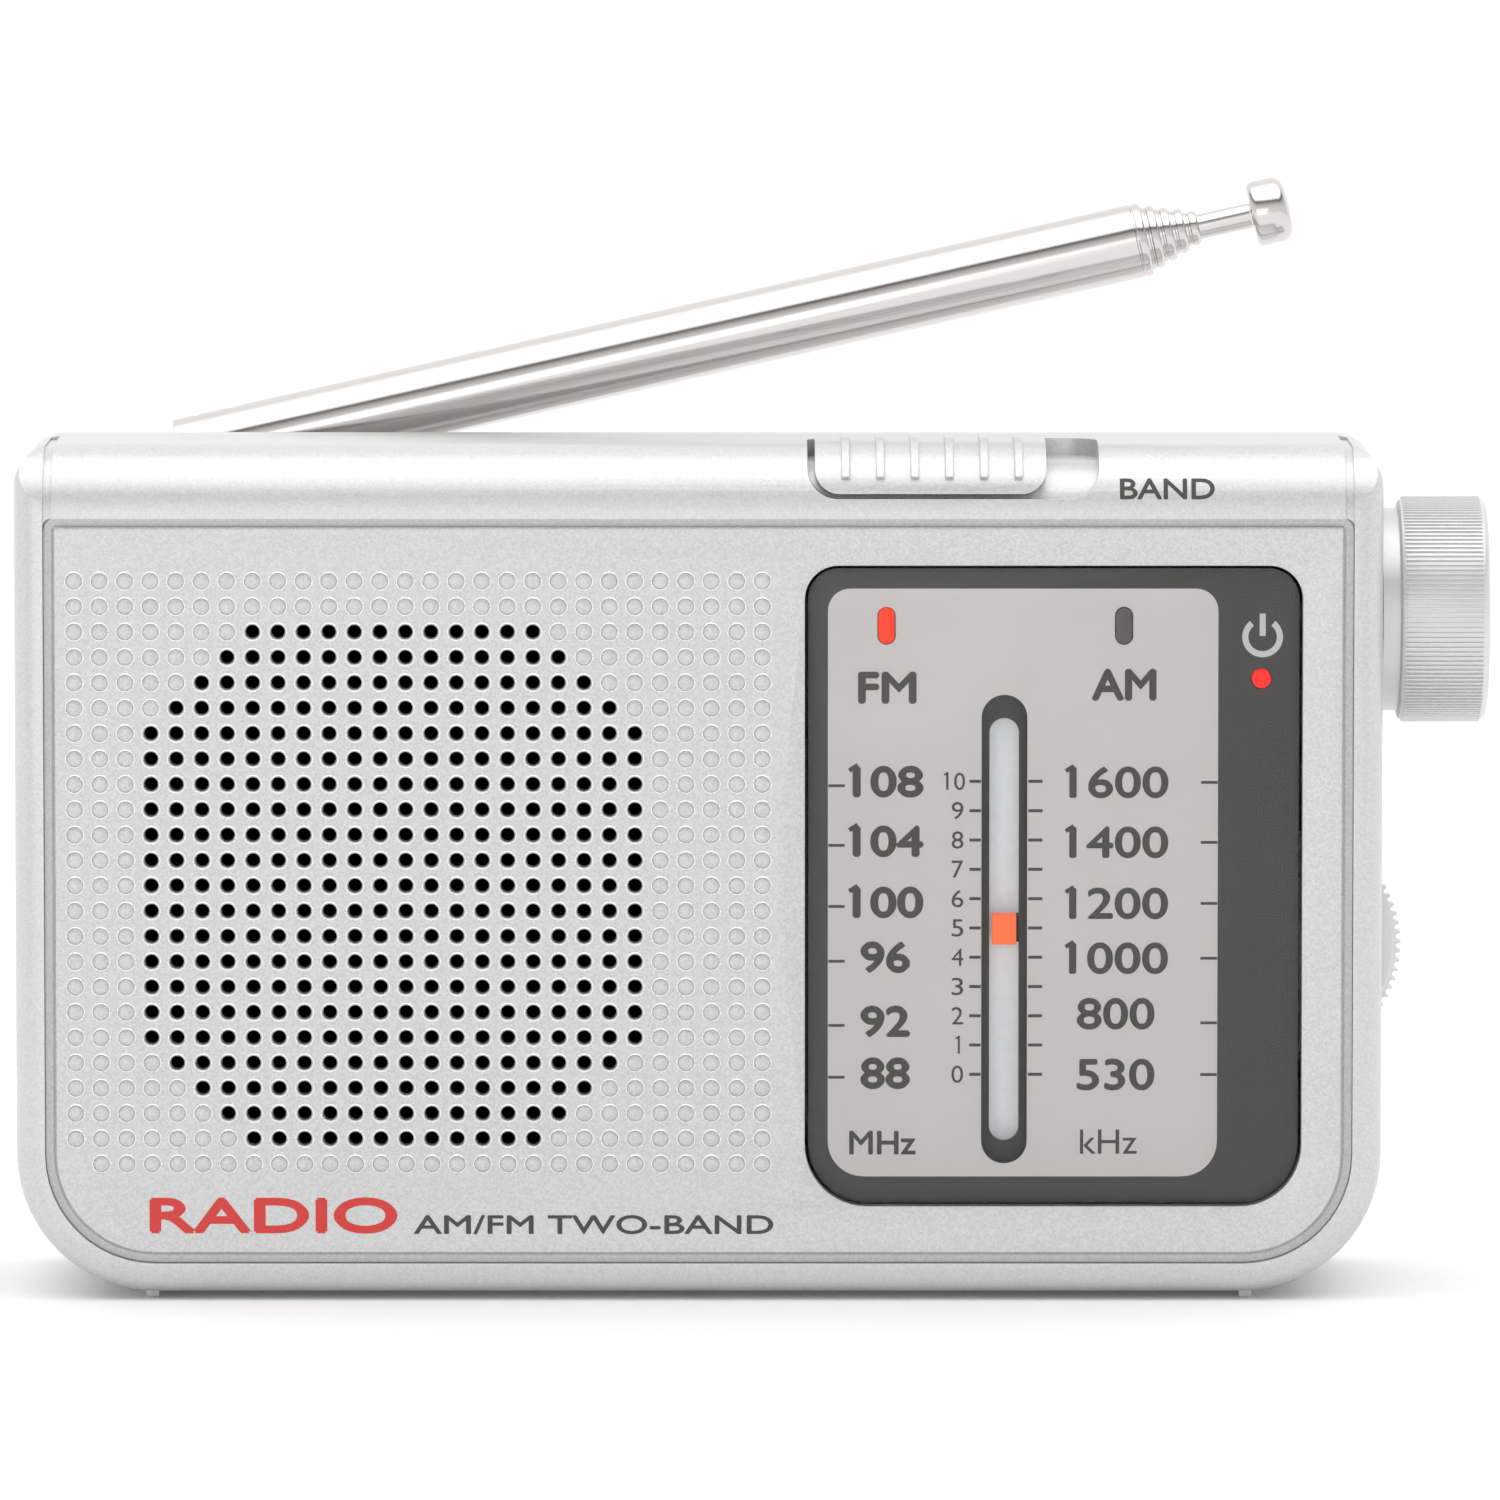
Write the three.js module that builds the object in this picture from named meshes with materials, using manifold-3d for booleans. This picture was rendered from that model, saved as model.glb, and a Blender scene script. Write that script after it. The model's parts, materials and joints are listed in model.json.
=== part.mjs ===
// Portable two-band AM/FM radio with one loudspeaker, a slide-rule dial and a telescopic antenna.
// Millimetres, +Z up, front face towards -Y. The origin is under the middle of the bounding box, on
// the surface that the radio stands on. Inside the group, X is counted from the middle of the case.
import * as THREE from 'three';
import { mergeVertices } from 'three/addons/utils/BufferGeometryUtils.js';
import Module from 'manifold-3d';

const wasm = await Module();
wasm.setup();

// ---------- driving dimensions ----------
const gap = 0.3; // left between pieces that touch or run on each other
const bodyWidth = 134.5;
const bodyHeight = 83.5;
const bodyDepth = 36;
const footHeight = 0.7;
const wall = 2.2;
const bottomRadius = 13.7;
const topRadius = 4;
const shoulderRadius = 7;
const rearEdge = 3;
const splitY = 0.3; // the front case ends here and the rear case starts one gap behind

const half = bodyWidth / 2;
const frontY = -bodyDepth / 2;
const rearY = bodyDepth / 2;
const bottomZ = footHeight;
const topZ = footHeight + bodyHeight;

const footX = 53.9;
const footWidth = 1.25;
const footReach = 15; // how far each foot rib runs from the middle towards the front and back

const panelInset = 3.82; // from the case's side to the raised field of the front panel
const panelBottomZ = bottomZ + 3.9;
const panelTopZ = bottomZ + 75.75;
const panelThick = 1.5;
const channelWidth = 0.88;
const channelDepth = 0.4;
const frontWall = 1.0; // the front case's wall behind the panel
const panelBackY = frontY + panelThick;
const frontWallY = panelBackY + gap;
const innerFrontY = frontWallY + frontWall;

const holePitch = 2.5;
const grilleX = -30;
const grilleZ = bottomZ + 40.4;
const grilleRadius = 25.5;
const slotHeight = 1.35;

const dialX0 = 10.44;
const dialX1 = 59.27;
const dialZ0 = bottomZ + 8.72;
const dialZ1 = bottomZ + 71.9;
const dialTopRadius = 3.3;
const dialBottomRadius = 6.1;
const windowThick = 1.2;
const windowY = frontY + 0.1;
const plateY = windowY + windowThick + gap;
const plateThick = 1.0;

const slideX = 30.05; // centre line of the pointer's slot
const slideWidth = 4.5;
const slideZ0 = bottomZ + 12.8;
const slideZ1 = bottomZ + 59.1;
const pointerZ = bottomZ + 35.9;
const pointerHeight = 3.05;
const pointerWidth = 2.4;

const shaftZ = bottomZ + 66.3;
const shaftRadius = 3;
const knobRadius = 11.2;
const knobX0 = half + 2.15;
const knobX1 = half + 11.05;
const neckRadius = 10.1;

const cordX = 40;
const cordHalf = 0.35;
const drumPitchRadius = 8.4;
const pulleyPitchRadius = 3.6;
const pulleyZ = 12;
const pulleyY = -drumPitchRadius + pulleyPitchRadius;

const wheelX = 57.65;
const wheelZ = bottomZ + 33.7;
const wheelRadius = 11.8;
const wheelThick = 3;
const wheelY = -9;

const switchX0 = 10.67;
const switchX1 = 39.3;
const switchFrontY = -16.9;
const switchBackY = -3;
const switchDepth = 1.7;
const capWidth = 22.7;
const switchSide = 0.75;

const recessY = 6.5; // the antenna lies in a step behind this line
const recessZ = bottomZ + 75.4;
const recessWall = 1.2;

const pivotX = -56.4;
const pivotY = 12.5;
const pivotZ = bottomZ + 79.7;
const antennaTilt = 12.7; // degrees above level at rest
const barrelStart = 4.5;
const barrelEnd = 103.7;
const ringStep = 1.33;
const rodEnd = 114.4;
const tipLength = 3.9;
const tipRadius = 3.3;
const sectionRadii = [3.75, 3.2, 2.7, 2.25, 1.75, 1.275]; // barrel, four tubes, rod
const sectionWall = 0.28;

const cellRadius = 7.1;
const cellLength = 49.5;
const cellY = 9.3;
const cellZs = [12.5, 27.4];
const bayX0 = -58.3;
const bayX1 = -3.4;
const bayZ0 = 4.6;
const bayZ1 = 34.9;
const bayFrontY = 1.9;
const bayWall = 1.0;
const doorThick = 1.3;

const screwPlaces = [[-60.5, 68], [62, 50], [2, 7.5], [61.3, 11]]; // X and Z of each case screw
const bossRadius = 2.6;
const screwRadius = 1.1;
const screwHeadRadius = 2.0;

const boardY = 0.6;
const boardThick = 1.6;

// ---------- shape helpers ----------
const arcSteps = 4;
const roundSteps = 32;

// A closed geometry as a solid: shared corners are merged and faces that have no area left out.
function solid(geometry) {
  const bare = geometry.index ? geometry.toNonIndexed() : geometry.clone();
  bare.deleteAttribute('normal');
  bare.deleteAttribute('uv');
  const merged = mergeVertices(bare, 1e-4);
  const corners = merged.index.array;
  const faces = [];
  for (let i = 0; i < corners.length; i += 3) {
    const [a, b, c] = [corners[i], corners[i + 1], corners[i + 2]];
    if (a !== b && b !== c && a !== c) faces.push(a, b, c);
  }
  const vertProperties = new Float32Array(merged.attributes.position.array);
  const triVerts = new Uint32Array(faces);
  return new wasm.Manifold(new wasm.Mesh({ numProp: 3, vertProperties, triVerts }));
}

function meshGeometry(shape) {
  const mesh = shape.getMesh();
  const geometry = new THREE.BufferGeometry();
  geometry.setAttribute('position', new THREE.BufferAttribute(mesh.vertProperties, 3));
  geometry.setIndex(new THREE.BufferAttribute(mesh.triVerts, 1));
  geometry.computeVertexNormals();
  return geometry;
}

function block(x0, x1, y0, y1, z0, z1) {
  const geometry = new THREE.BoxGeometry(x1 - x0, y1 - y0, z1 - z0);
  geometry.translate((x0 + x1) / 2, (y0 + y1) / 2, (z0 + z1) / 2);
  return solid(geometry);
}

function extruded(shape, depth) {
  return new THREE.ExtrudeGeometry(shape, { depth, bevelEnabled: false, curveSegments: arcSteps });
}

// A shape drawn in X and Z, carried along Y from y0 to y1.
function prismY(shape, y0, y1) {
  return solid(extruded(shape, y1 - y0).rotateX(Math.PI / 2).translate(0, y1, 0));
}

// A shape drawn in Y and Z, carried along X from x0 to x1.
function prismX(shape, x0, x1) {
  const turn = new THREE.Matrix4().makeBasis(
    new THREE.Vector3(0, 1, 0), new THREE.Vector3(0, 0, 1), new THREE.Vector3(1, 0, 0));
  return solid(extruded(shape, x1 - x0).applyMatrix4(turn).translate(x0, 0, 0));
}

// A shape drawn in X and Y, carried up from z0 to z1.
function prismZ(shape, z0, z1) {
  return solid(extruded(shape, z1 - z0).translate(0, 0, z0));
}

// A profile of [radius, distance] points, turned about an axis through (a, b).
function turnedX(points, y, z, steps = roundSteps) {
  const profile = points.map(([r, d]) => new THREE.Vector2(r, d));
  return solid(new THREE.LatheGeometry(profile, steps).rotateZ(-Math.PI / 2).translate(0, y, z));
}

function turnedY(points, x, z, steps = roundSteps) {
  const profile = points.map(([r, d]) => new THREE.Vector2(r, d));
  return solid(new THREE.LatheGeometry(profile, steps).translate(x, 0, z));
}

function turnedZ(points, x, y, steps = roundSteps) {
  const profile = points.map(([r, d]) => new THREE.Vector2(r, d));
  return solid(new THREE.LatheGeometry(profile, steps).rotateX(Math.PI / 2).translate(x, y, 0));
}

function rodPoints(radius, from, to) {
  return [[0, from], [radius, from], [radius, to], [0, to]];
}

function tubePoints(inner, outer, from, to) {
  return [[inner, from], [outer, from], [outer, to], [inner, to], [inner, from]];
}

function rounded(x0, x1, z0, z1, lower, upper) {
  const shape = new THREE.Shape();
  const quarter = Math.PI / 2;
  shape.absarc(x1 - lower, z0 + lower, lower, -quarter, 0, false);
  shape.absarc(x1 - upper, z1 - upper, upper, 0, quarter, false);
  shape.absarc(x0 + upper, z1 - upper, upper, quarter, Math.PI, false);
  shape.absarc(x0 + lower, z0 + lower, lower, Math.PI, Math.PI + quarter, false);
  return shape;
}

function stadium(x, z0, z1, width) {
  return rounded(x - width / 2, x + width / 2, z0, z1, width / 2 - 1e-3, width / 2 - 1e-3);
}

function polygon(points) {
  return new THREE.Shape(points.map(([a, b]) => new THREE.Vector2(a, b)));
}

const radio = new THREE.Group();
radio.name = 'radio';
radio.position.x = -(knobX1 - half) / 2;

function add(name, shape, color, roughness, metalness = 0, group = radio) {
  const material = new THREE.MeshStandardMaterial({ color, roughness, metalness });
  const mesh = new THREE.Mesh(meshGeometry(shape), material);
  mesh.name = name;
  group.add(mesh);
}

const silver = [0xc9c9c6, 0.38, 0.6];
const chrome = [0xd8d8d8, 0.18, 1];
const darkPlastic = [0x2b2a2a, 0.5];
const steel = [0xa8a8a8, 0.35, 0.9];

// ---------- case ----------
function outline(inset) {
  return rounded(-half + inset, half - inset, bottomZ + inset, topZ - inset,
    bottomRadius - inset, topRadius - Math.min(inset, topRadius - 0.5));
}

// Side view of the front half: flat front, rounded shoulder, flat top.
function frontProfile(inset, backY) {
  const radius = shoulderRadius - inset;
  const shape = new THREE.Shape();
  shape.moveTo(frontY + inset, bottomZ + inset);
  shape.lineTo(backY, bottomZ + inset);
  shape.lineTo(backY, topZ - inset);
  shape.absarc(frontY + shoulderRadius, topZ - shoulderRadius, radius, Math.PI / 2, Math.PI, false);
  return shape;
}

// Side view of the rear half: the antenna's step at the top, small chamfers on the back edges.
function rearProfile(inset, stepInset, startY) {
  return polygon([
    [startY, bottomZ + inset],
    [rearY - inset - rearEdge, bottomZ + inset],
    [rearY - inset, bottomZ + inset + rearEdge],
    [rearY - inset, recessZ - stepInset - 1],
    [rearY - inset - 1, recessZ - stepInset],
    [recessY - stepInset, recessZ - stepInset],
    [recessY - stepInset, topZ - inset],
    [startY, topZ - inset],
  ]);
}

function planView(inset) {
  const side = half - inset;
  const back = rearY - inset;
  return polygon([
    [-side, 0], [side, 0], [side, back - rearEdge], [side - rearEdge, back],
    [-side + rearEdge, back], [-side, back - rearEdge],
  ]);
}

function bossesAlong(radius, y0, y1) {
  const places = screwPlaces.map(([x, z]) => turnedY(rodPoints(radius, y0, y1), x, z, 20));
  return places.reduce((joined, next) => joined.add(next));
}

function footRibs(y0, y1) {
  const left = block(-footX - footWidth / 2, -footX + footWidth / 2, y0, y1, 0, bottomZ + 1);
  const right = block(footX - footWidth / 2, footX + footWidth / 2, y0, y1, 0, bottomZ + 1);
  return left.add(right);
}

const dialOutline = (inset) => rounded(dialX0 + inset, dialX1 - inset, dialZ0 + inset, dialZ1 - inset,
  dialBottomRadius - inset, dialTopRadius - inset);
const shaftHole = turnedX(rodPoints(4.5, half - 5, half + 1), 0, shaftZ);
const recessOutline = (spread) => rounded(-half + panelInset - spread, half - panelInset + spread,
  panelBottomZ - spread, panelTopZ + spread, bottomRadius - panelInset + spread, 1.2 + spread);

const capX0 = switchX0 + switchSide;
const stemX0 = capX0 + 9;
const stemWidth = 3;
const stemY0 = -7.5;
const stemY1 = -5;
const switchTravel = 4.5;

let frontCase = prismY(outline(0), frontY, splitY).intersect(prismX(frontProfile(0, splitY), -half, half));
const frontHollow = prismY(outline(wall), innerFrontY, splitY + 1)
  .intersect(prismX(frontProfile(wall, splitY + 1), -half, half));
frontCase = frontCase.subtract(frontHollow);
frontCase = frontCase.subtract(prismY(recessOutline(channelWidth), frontY - 1, frontWallY));
frontCase = frontCase.subtract(turnedY(rodPoints(grilleRadius + 0.5, frontY, 0), grilleX, grilleZ));
frontCase = frontCase.subtract(prismY(dialOutline(0), frontY - 1, -12));
const switchRing = prismX(frontProfile(-1, switchBackY), switchX0, switchX1)
  .subtract(prismX(frontProfile(switchDepth, 0), switchX0 - 1, switchX1 + 1))
  .intersect(block(switchX0, switchX1, switchFrontY, switchBackY, topZ - shoulderRadius + 2.3, topZ + 2));
frontCase = frontCase.subtract(switchRing);
frontCase = frontCase.subtract(block(stemX0 - gap, stemX0 + stemWidth + switchTravel + gap,
  stemY0 - gap, stemY1 + gap, topZ - wall - 1, topZ));
frontCase = frontCase.subtract(block(half - wall - 1, half + 1, wheelY - 0.4, wheelY + wheelThick + 0.4,
  wheelZ - 9.6, wheelZ + 9.6));
frontCase = frontCase.add(bossesAlong(bossRadius, innerFrontY - 0.5, splitY));
frontCase = frontCase.add(footRibs(-footReach, splitY));
frontCase = frontCase.subtract(bossesAlong(screwRadius + gap, -9, splitY + 1));
frontCase = frontCase.subtract(shaftHole);
add('front_case', frontCase, ...silver);

const raisedField = prismY(recessOutline(0), frontY, panelBackY);
const panelBase = prismY(recessOutline(channelWidth - gap), frontY + channelDepth, panelBackY);
let frontPanel = raisedField.add(panelBase).subtract(prismY(dialOutline(0), frontY - 1, 0));
const slotRows = Math.floor(grilleRadius / holePitch);
for (let row = -slotRows; row <= slotRows; row += 1) {
  const reach = Math.sqrt(grilleRadius ** 2 - (row * holePitch) ** 2);
  const z = grilleZ + row * holePitch;
  frontPanel = frontPanel.subtract(block(grilleX - reach, grilleX + reach, frontY - 1, 0,
    z - slotHeight / 2, z + slotHeight / 2));
}
add('front_panel', frontPanel, ...silver);

const rearStart = splitY + gap;
let rearCase = prismY(outline(0), rearStart, rearY)
  .intersect(prismX(rearProfile(0, 0, rearStart), -half, half))
  .intersect(prismZ(planView(0), 0, topZ + 1));
const rearHollow = prismY(outline(wall), rearStart - 1, rearY - wall)
  .intersect(prismX(rearProfile(wall, recessWall, rearStart - 1), -half, half));
const bayOuter = block(bayX0 - bayWall, bayX1 + bayWall, bayFrontY - bayWall, rearY - 1,
  bayZ0 - bayWall, bayZ1 + bayWall).intersect(prismY(outline(1), 0, rearY));
rearCase = rearCase.subtract(rearHollow);
rearCase = rearCase.add(bossesAlong(bossRadius, rearStart, rearY - 1));
rearCase = rearCase.add(bayOuter);
rearCase = rearCase.subtract(block(bayX0, bayX1, bayFrontY, rearY + 1, bayZ0, bayZ1));
rearCase = rearCase.subtract(bossesAlong(screwRadius + gap, 0, rearY + 1));
rearCase = rearCase.subtract(bossesAlong(screwHeadRadius + gap, rearY - 1.8, rearY + 1));
rearCase = rearCase.add(footRibs(rearStart, footReach));
rearCase = rearCase.subtract(shaftHole);
const socketHoleRadius = 3.6;
rearCase = rearCase.subtract(
  turnedZ(rodPoints(socketHoleRadius, recessZ - 4, recessZ + 1), pivotX, pivotY, 24));
const jackY = 8;
const jackZ = 58;
const jackNose = 3;
rearCase = rearCase.subtract(turnedX(rodPoints(jackNose + gap, -half - 1, -half + 4), jackY, jackZ, 24));
add('rear_case', rearCase, ...silver);

const door = block(bayX0 + gap, bayX1 - gap, rearY - doorThick, rearY, bayZ0 + gap, bayZ1 - gap);
const gripX = (bayX0 + bayX1) / 2;
const gripSide = polygon([[rearY + 1, bayZ1 - 5], [rearY - 0.8, bayZ1 - 4], [rearY + 1, bayZ1 - 2]]);
const fingerGrip = prismX(gripSide, gripX - 7, gripX + 7);
add('battery_door', door.subtract(fingerGrip), ...silver);

screwPlaces.forEach(([x, z], index) => {
  const headY = rearY - 1.5;
  const cross = block(x - 1.2, x + 1.2, headY + 0.8, rearY, z - 0.25, z + 0.25)
    .add(block(x - 0.25, x + 0.25, headY + 0.8, rearY, z - 1.2, z + 1.2));
  const screw = turnedY([[0, -8], [screwRadius, -7], [screwRadius, headY],
    [screwHeadRadius, headY], [screwHeadRadius, rearY - 0.3], [0, rearY - 0.3]], x, z, 20);
  add(`case_screw_${index + 1}`, screw.subtract(cross), ...steel);
});

// ---------- dial ----------
add('dial_window', prismY(dialOutline(gap), windowY, windowY + windowThick), 0xe8ecee, 0.05);

const lampWidth = 1.6;
const lampHeight = 3.55;
const lamps = [
  { name: 'fm_lamp', x: 18.45, z: bottomZ + 65.9, color: 0xff4a20 },
  { name: 'am_lamp', x: 41.77, z: bottomZ + 65.9, color: 0x5a5552 },
];
const ledX = 55.27;
const ledZ = bottomZ + 60.7;
const ledRadius = 0.93;
const lampShape = (lamp, spread) => stadium(lamp.x, lamp.z - lampHeight / 2 - spread,
  lamp.z + lampHeight / 2 + spread, lampWidth + 2 * spread);
const plateBackY = plateY + plateThick;
const lampFit = 0.15;
let dialPlate = prismY(dialOutline(gap), plateY, plateBackY)
  .subtract(prismY(stadium(slideX, slideZ0, slideZ1, slideWidth), frontY, 0))
  .subtract(turnedY(rodPoints(ledRadius + lampFit, frontY, 0), ledX, ledZ, 16));
for (const lamp of lamps) {
  dialPlate = dialPlate.subtract(prismY(lampShape(lamp, lampFit), frontY, 0));
  add(lamp.name, prismY(lampShape(lamp, 0), plateY, plateBackY + 2), lamp.color, 0.3);
}
add('power_led', turnedY(rodPoints(ledRadius, plateY, plateBackY + 2), ledX, ledZ, 16), 0xd02010, 0.25);
add('dial_plate', dialPlate, 0xbebbba, 0.6);

const guideY = plateBackY + gap;
const guideThick = 0.7;
const guideX0 = 24.5;
const guideX1 = 37.6;
const rodX = 36;
const rodY = -12.4;
const rodRadius = 0.8;
const rodZ0 = 12.3;
const rodZ1 = 61.7;
const lugZs = [11, 60.3];
const lugHeight = 2.7;
let pointerGuide = block(guideX0, guideX1, guideY, guideY + guideThick, slideZ0 - 3.5, slideZ1 + 3.5);
for (const z of lugZs) {
  pointerGuide = pointerGuide.add(block(rodX - 1.6, guideX1, guideY, rodY + 1.8, z, z + lugHeight));
}
pointerGuide = pointerGuide
  .subtract(prismY(stadium(slideX, slideZ0 + 2.1, slideZ1 - 2.4, pointerWidth + 0.5), frontY, 0))
  .subtract(turnedZ(rodPoints(rodRadius + gap, rodZ0 - 2, rodZ1 + 2), rodX, rodY, 16));
add('pointer_guide', pointerGuide, 0x4a4745, 0.55);
add('slot_screen', block(26, 33.7, -13, -12.3, slideZ0 - 1, slideZ1 + 1), 0xd0d0d0, 0.6);
add('guide_rod', turnedZ(rodPoints(rodRadius, rodZ0, rodZ1), rodX, rodY, 16), ...steel);

add('pointer', block(slideX - pointerWidth / 2, slideX + pointerWidth / 2, -16, -14.4,
  pointerZ - pointerHeight / 2, pointerZ + pointerHeight / 2), 0xff6a30, 0.4);
const carriageHalf = 3;
const armHalf = 1.4;
const carriage = block(slideX - 1, rodX, -14.1, -13.3, pointerZ - armHalf, pointerZ + armHalf)
  .add(block(rodX, cordX + 1.8, -13.3, -11.5, pointerZ - armHalf, pointerZ + armHalf))
  .add(block(cordX - 1.8, cordX + 1.8, -11.6, -7, pointerZ - carriageHalf, pointerZ + carriageHalf))
  .add(block(rodX - 1.8, rodX + 1.8, -14, -10.6, pointerZ - carriageHalf, pointerZ + carriageHalf))
  .subtract(block(cordX - 0.7, cordX + 0.7, -9.2, -6, pointerZ - 4, pointerZ + 4))
  .subtract(turnedZ(rodPoints(rodRadius + gap, pointerZ - 4, pointerZ + 4), rodX, rodY, 16));
add('pointer_carriage', carriage, 0x5a5856, 0.5);

// ---------- tuning drive ----------
const drumX0 = cordX - 1.4;
const drumX1 = cordX + 1.4;
const boreRadius = shaftRadius + gap;
const knobBoreEnd = knobX1 - 4.8;
const knob = turnedX([
  [boreRadius, half + gap], [neckRadius, half + gap], [neckRadius, knobX0], [knobRadius - 0.9, knobX0],
  [knobRadius, knobX0 + 0.9], [knobRadius, knobX1 - 1.1], [knobRadius - 1.1, knobX1 - 0.2],
  [0, knobX1], [0, knobBoreEnd], [boreRadius, knobBoreEnd], [boreRadius, half + gap],
], 0, shaftZ, 64);
add('tuning_knob', knob, ...silver);
const capacitorX1 = 33;
const shaftPoints = rodPoints(shaftRadius, capacitorX1 + 0.4, knobBoreEnd - gap);
add('tuning_shaft', turnedX(shaftPoints, 0, shaftZ, 24), ...steel);
const drumSide = 9.2;
const drumFloor = drumPitchRadius - 0.8;
const drum = turnedX([
  [boreRadius, drumX0 - 2], [5.5, drumX0 - 2], [5.5, drumX0], [drumSide, drumX0], [drumSide, drumX0 + 0.7],
  [drumFloor, drumX0 + 0.7], [drumFloor, drumX1 - 0.7], [drumSide, drumX1 - 0.7], [drumSide, drumX1],
  [boreRadius, drumX1], [boreRadius, drumX0 - 2],
], 0, shaftZ, 40);
add('cord_drum', drum, 0xe6e2d8, 0.5);
add('tuning_capacitor', block(20, capacitorX1, -10, 3.9, shaftZ - 10, shaftZ + 9.5), 0xd9d4c6, 0.45);
const bushPoints = tubePoints(shaftRadius + gap, 4.2, half - wall - 1.5, half);
add('shaft_bush', turnedX(bushPoints, 0, shaftZ, 24), ...darkPlastic);

// The cord's loop: two straight runs that touch the drum and the pulley, widened by the cord's half.
function cordLoop(offset) {
  const apart = Math.hypot(pulleyY, shaftZ - pulleyZ);
  const lean = Math.atan2(shaftZ - pulleyZ, -pulleyY);
  const touch = Math.acos((pulleyPitchRadius - drumPitchRadius) / apart);
  const shape = new THREE.Shape();
  const turn = 2 * Math.PI;
  shape.absarc(pulleyY, pulleyZ, pulleyPitchRadius + offset, lean + touch, lean - touch + turn, false);
  shape.absarc(0, shaftZ, drumPitchRadius + offset, lean - touch, lean + touch, false);
  return shape;
}
const cord = prismX(cordLoop(cordHalf), cordX - cordHalf, cordX + cordHalf)
  .subtract(prismX(cordLoop(-cordHalf), cordX - 1, cordX + 1));
add('dial_cord', cord, 0x8a7f6a, 0.8);

const pulleySide = 4.2;
const pulleyFloor = pulleyPitchRadius - 0.8;
const axleRadius = 1;
const pulley = turnedX([
  [axleRadius + gap, drumX0], [pulleySide, drumX0], [pulleySide, drumX0 + 0.7], [pulleyFloor, drumX0 + 0.7],
  [pulleyFloor, drumX1 - 0.7], [pulleySide, drumX1 - 0.7], [pulleySide, drumX1], [axleRadius + gap, drumX1],
  [axleRadius + gap, drumX0],
], pulleyY, pulleyZ, 24);
add('cord_pulley', pulley, 0xe6e2d8, 0.5);
const axle = turnedX(rodPoints(axleRadius, drumX0 - 1.8, drumX1 + 1.8), pulleyY, pulleyZ, 16);
const cheek = (x0) => block(x0, x0 + 1, pulleyY - 2.5, boardY - gap, pulleyZ - 3, pulleyZ + 3);
const bracket = cheek(drumX0 - 1.6).add(cheek(drumX1 + 0.6))
  .add(block(drumX0 - 1.6, drumX1 + 1.6, -0.3, boardY - gap, pulleyZ - 3, pulleyZ + 3)).add(axle);
add('pulley_bracket', bracket, ...steel);

// ---------- band switch ----------
const capClear = 0.3;
const capBand = prismX(frontProfile(-0.25, switchBackY - capClear), capX0, capX0 + capWidth)
  .subtract(prismX(frontProfile(switchDepth - capClear, 0), capX0 - 1, capX0 + capWidth + 1))
  .intersect(block(capX0, capX0 + capWidth, switchFrontY + capClear, switchBackY - capClear,
    topZ - shoulderRadius + 2.6, topZ + 2));
const stem = block(stemX0, stemX0 + stemWidth, stemY0, stemY1, topZ - 3.4, topZ - 1);
add('band_knob', capBand.add(stem), ...silver);
add('band_switch_body', block(13, 37, -9, -3.5, topZ - 6.7, topZ - 3.8), ...steel);

// ---------- volume ----------
const wheelBore = 1.6;
const wheelEnd = wheelY + wheelThick;
const wheelPoints = tubePoints(wheelBore, wheelRadius, wheelY, wheelEnd);
add('volume_wheel', turnedY(wheelPoints, wheelX, wheelZ, 56), ...silver);
add('wheel_screw', turnedY([
  [0, wheelY - 0.9], [3, wheelY - 0.9], [3, wheelY - gap], [wheelBore - gap, wheelY - gap],
  [wheelBore - gap, wheelEnd], [0, wheelEnd],
], wheelX, wheelZ, 20), ...steel);
const potHalf = 5.5;
add('volume_pot', block(wheelX - potHalf, wheelX + potHalf, wheelEnd + 0.6, boardY - gap,
  wheelZ - potHalf, wheelZ + potHalf), ...steel);

// ---------- antenna ----------
const flangeZ = recessZ + 0.1;
add('antenna_socket', turnedZ([
  [2.7, recessZ - 3], [socketHoleRadius - gap, recessZ - 3], [socketHoleRadius - gap, flangeZ],
  [4.2, flangeZ], [4.2, flangeZ + 0.4], [2.7, flangeZ + 0.4], [2.7, recessZ - 3],
], pivotX, pivotY, 24), ...darkPlastic);

const eyeHalf = 1.5;
const earIn = eyeHalf + gap;
const earThick = 1.4;
const earOut = earIn + earThick;
const earHalf = 2.8;
const pinRadius = 1;
const forkZ = flangeZ + 0.6;
const ear = (y0) => block(pivotX - earHalf, pivotX + earHalf, y0, y0 + earThick,
  forkZ + 0.2, pivotZ + earHalf);
const fork = turnedZ([[0, recessZ - 4], [2.4, recessZ - 4], [2.4, forkZ], [4, forkZ], [4, forkZ + 0.6],
  [0, forkZ + 0.6]], pivotX, pivotY, 24)
  .add(ear(pivotY - earOut))
  .add(ear(pivotY + earIn))
  .subtract(turnedY(rodPoints(pinRadius + gap, pivotY - 5, pivotY + 5), pivotX, pivotZ, 16));
add('antenna_fork', fork, ...chrome);
const pinHeadY = pivotY - earOut - 0.5;
const pinEndY = pivotY + earOut + 0.4;
add('antenna_pin', turnedY([
  [0, pinHeadY], [1.7, pinHeadY], [1.7, pinHeadY + 0.3],
  [pinRadius, pinHeadY + 0.3], [pinRadius, pinEndY], [0, pinEndY],
], pivotX, pivotZ, 16), ...steel);

// Along the antenna, X is the distance from the pivot.
const antenna = new THREE.Group();
antenna.position.set(pivotX, pivotY, pivotZ);
antenna.rotation.y = -THREE.MathUtils.degToRad(antennaTilt);
radio.add(antenna);

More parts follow.
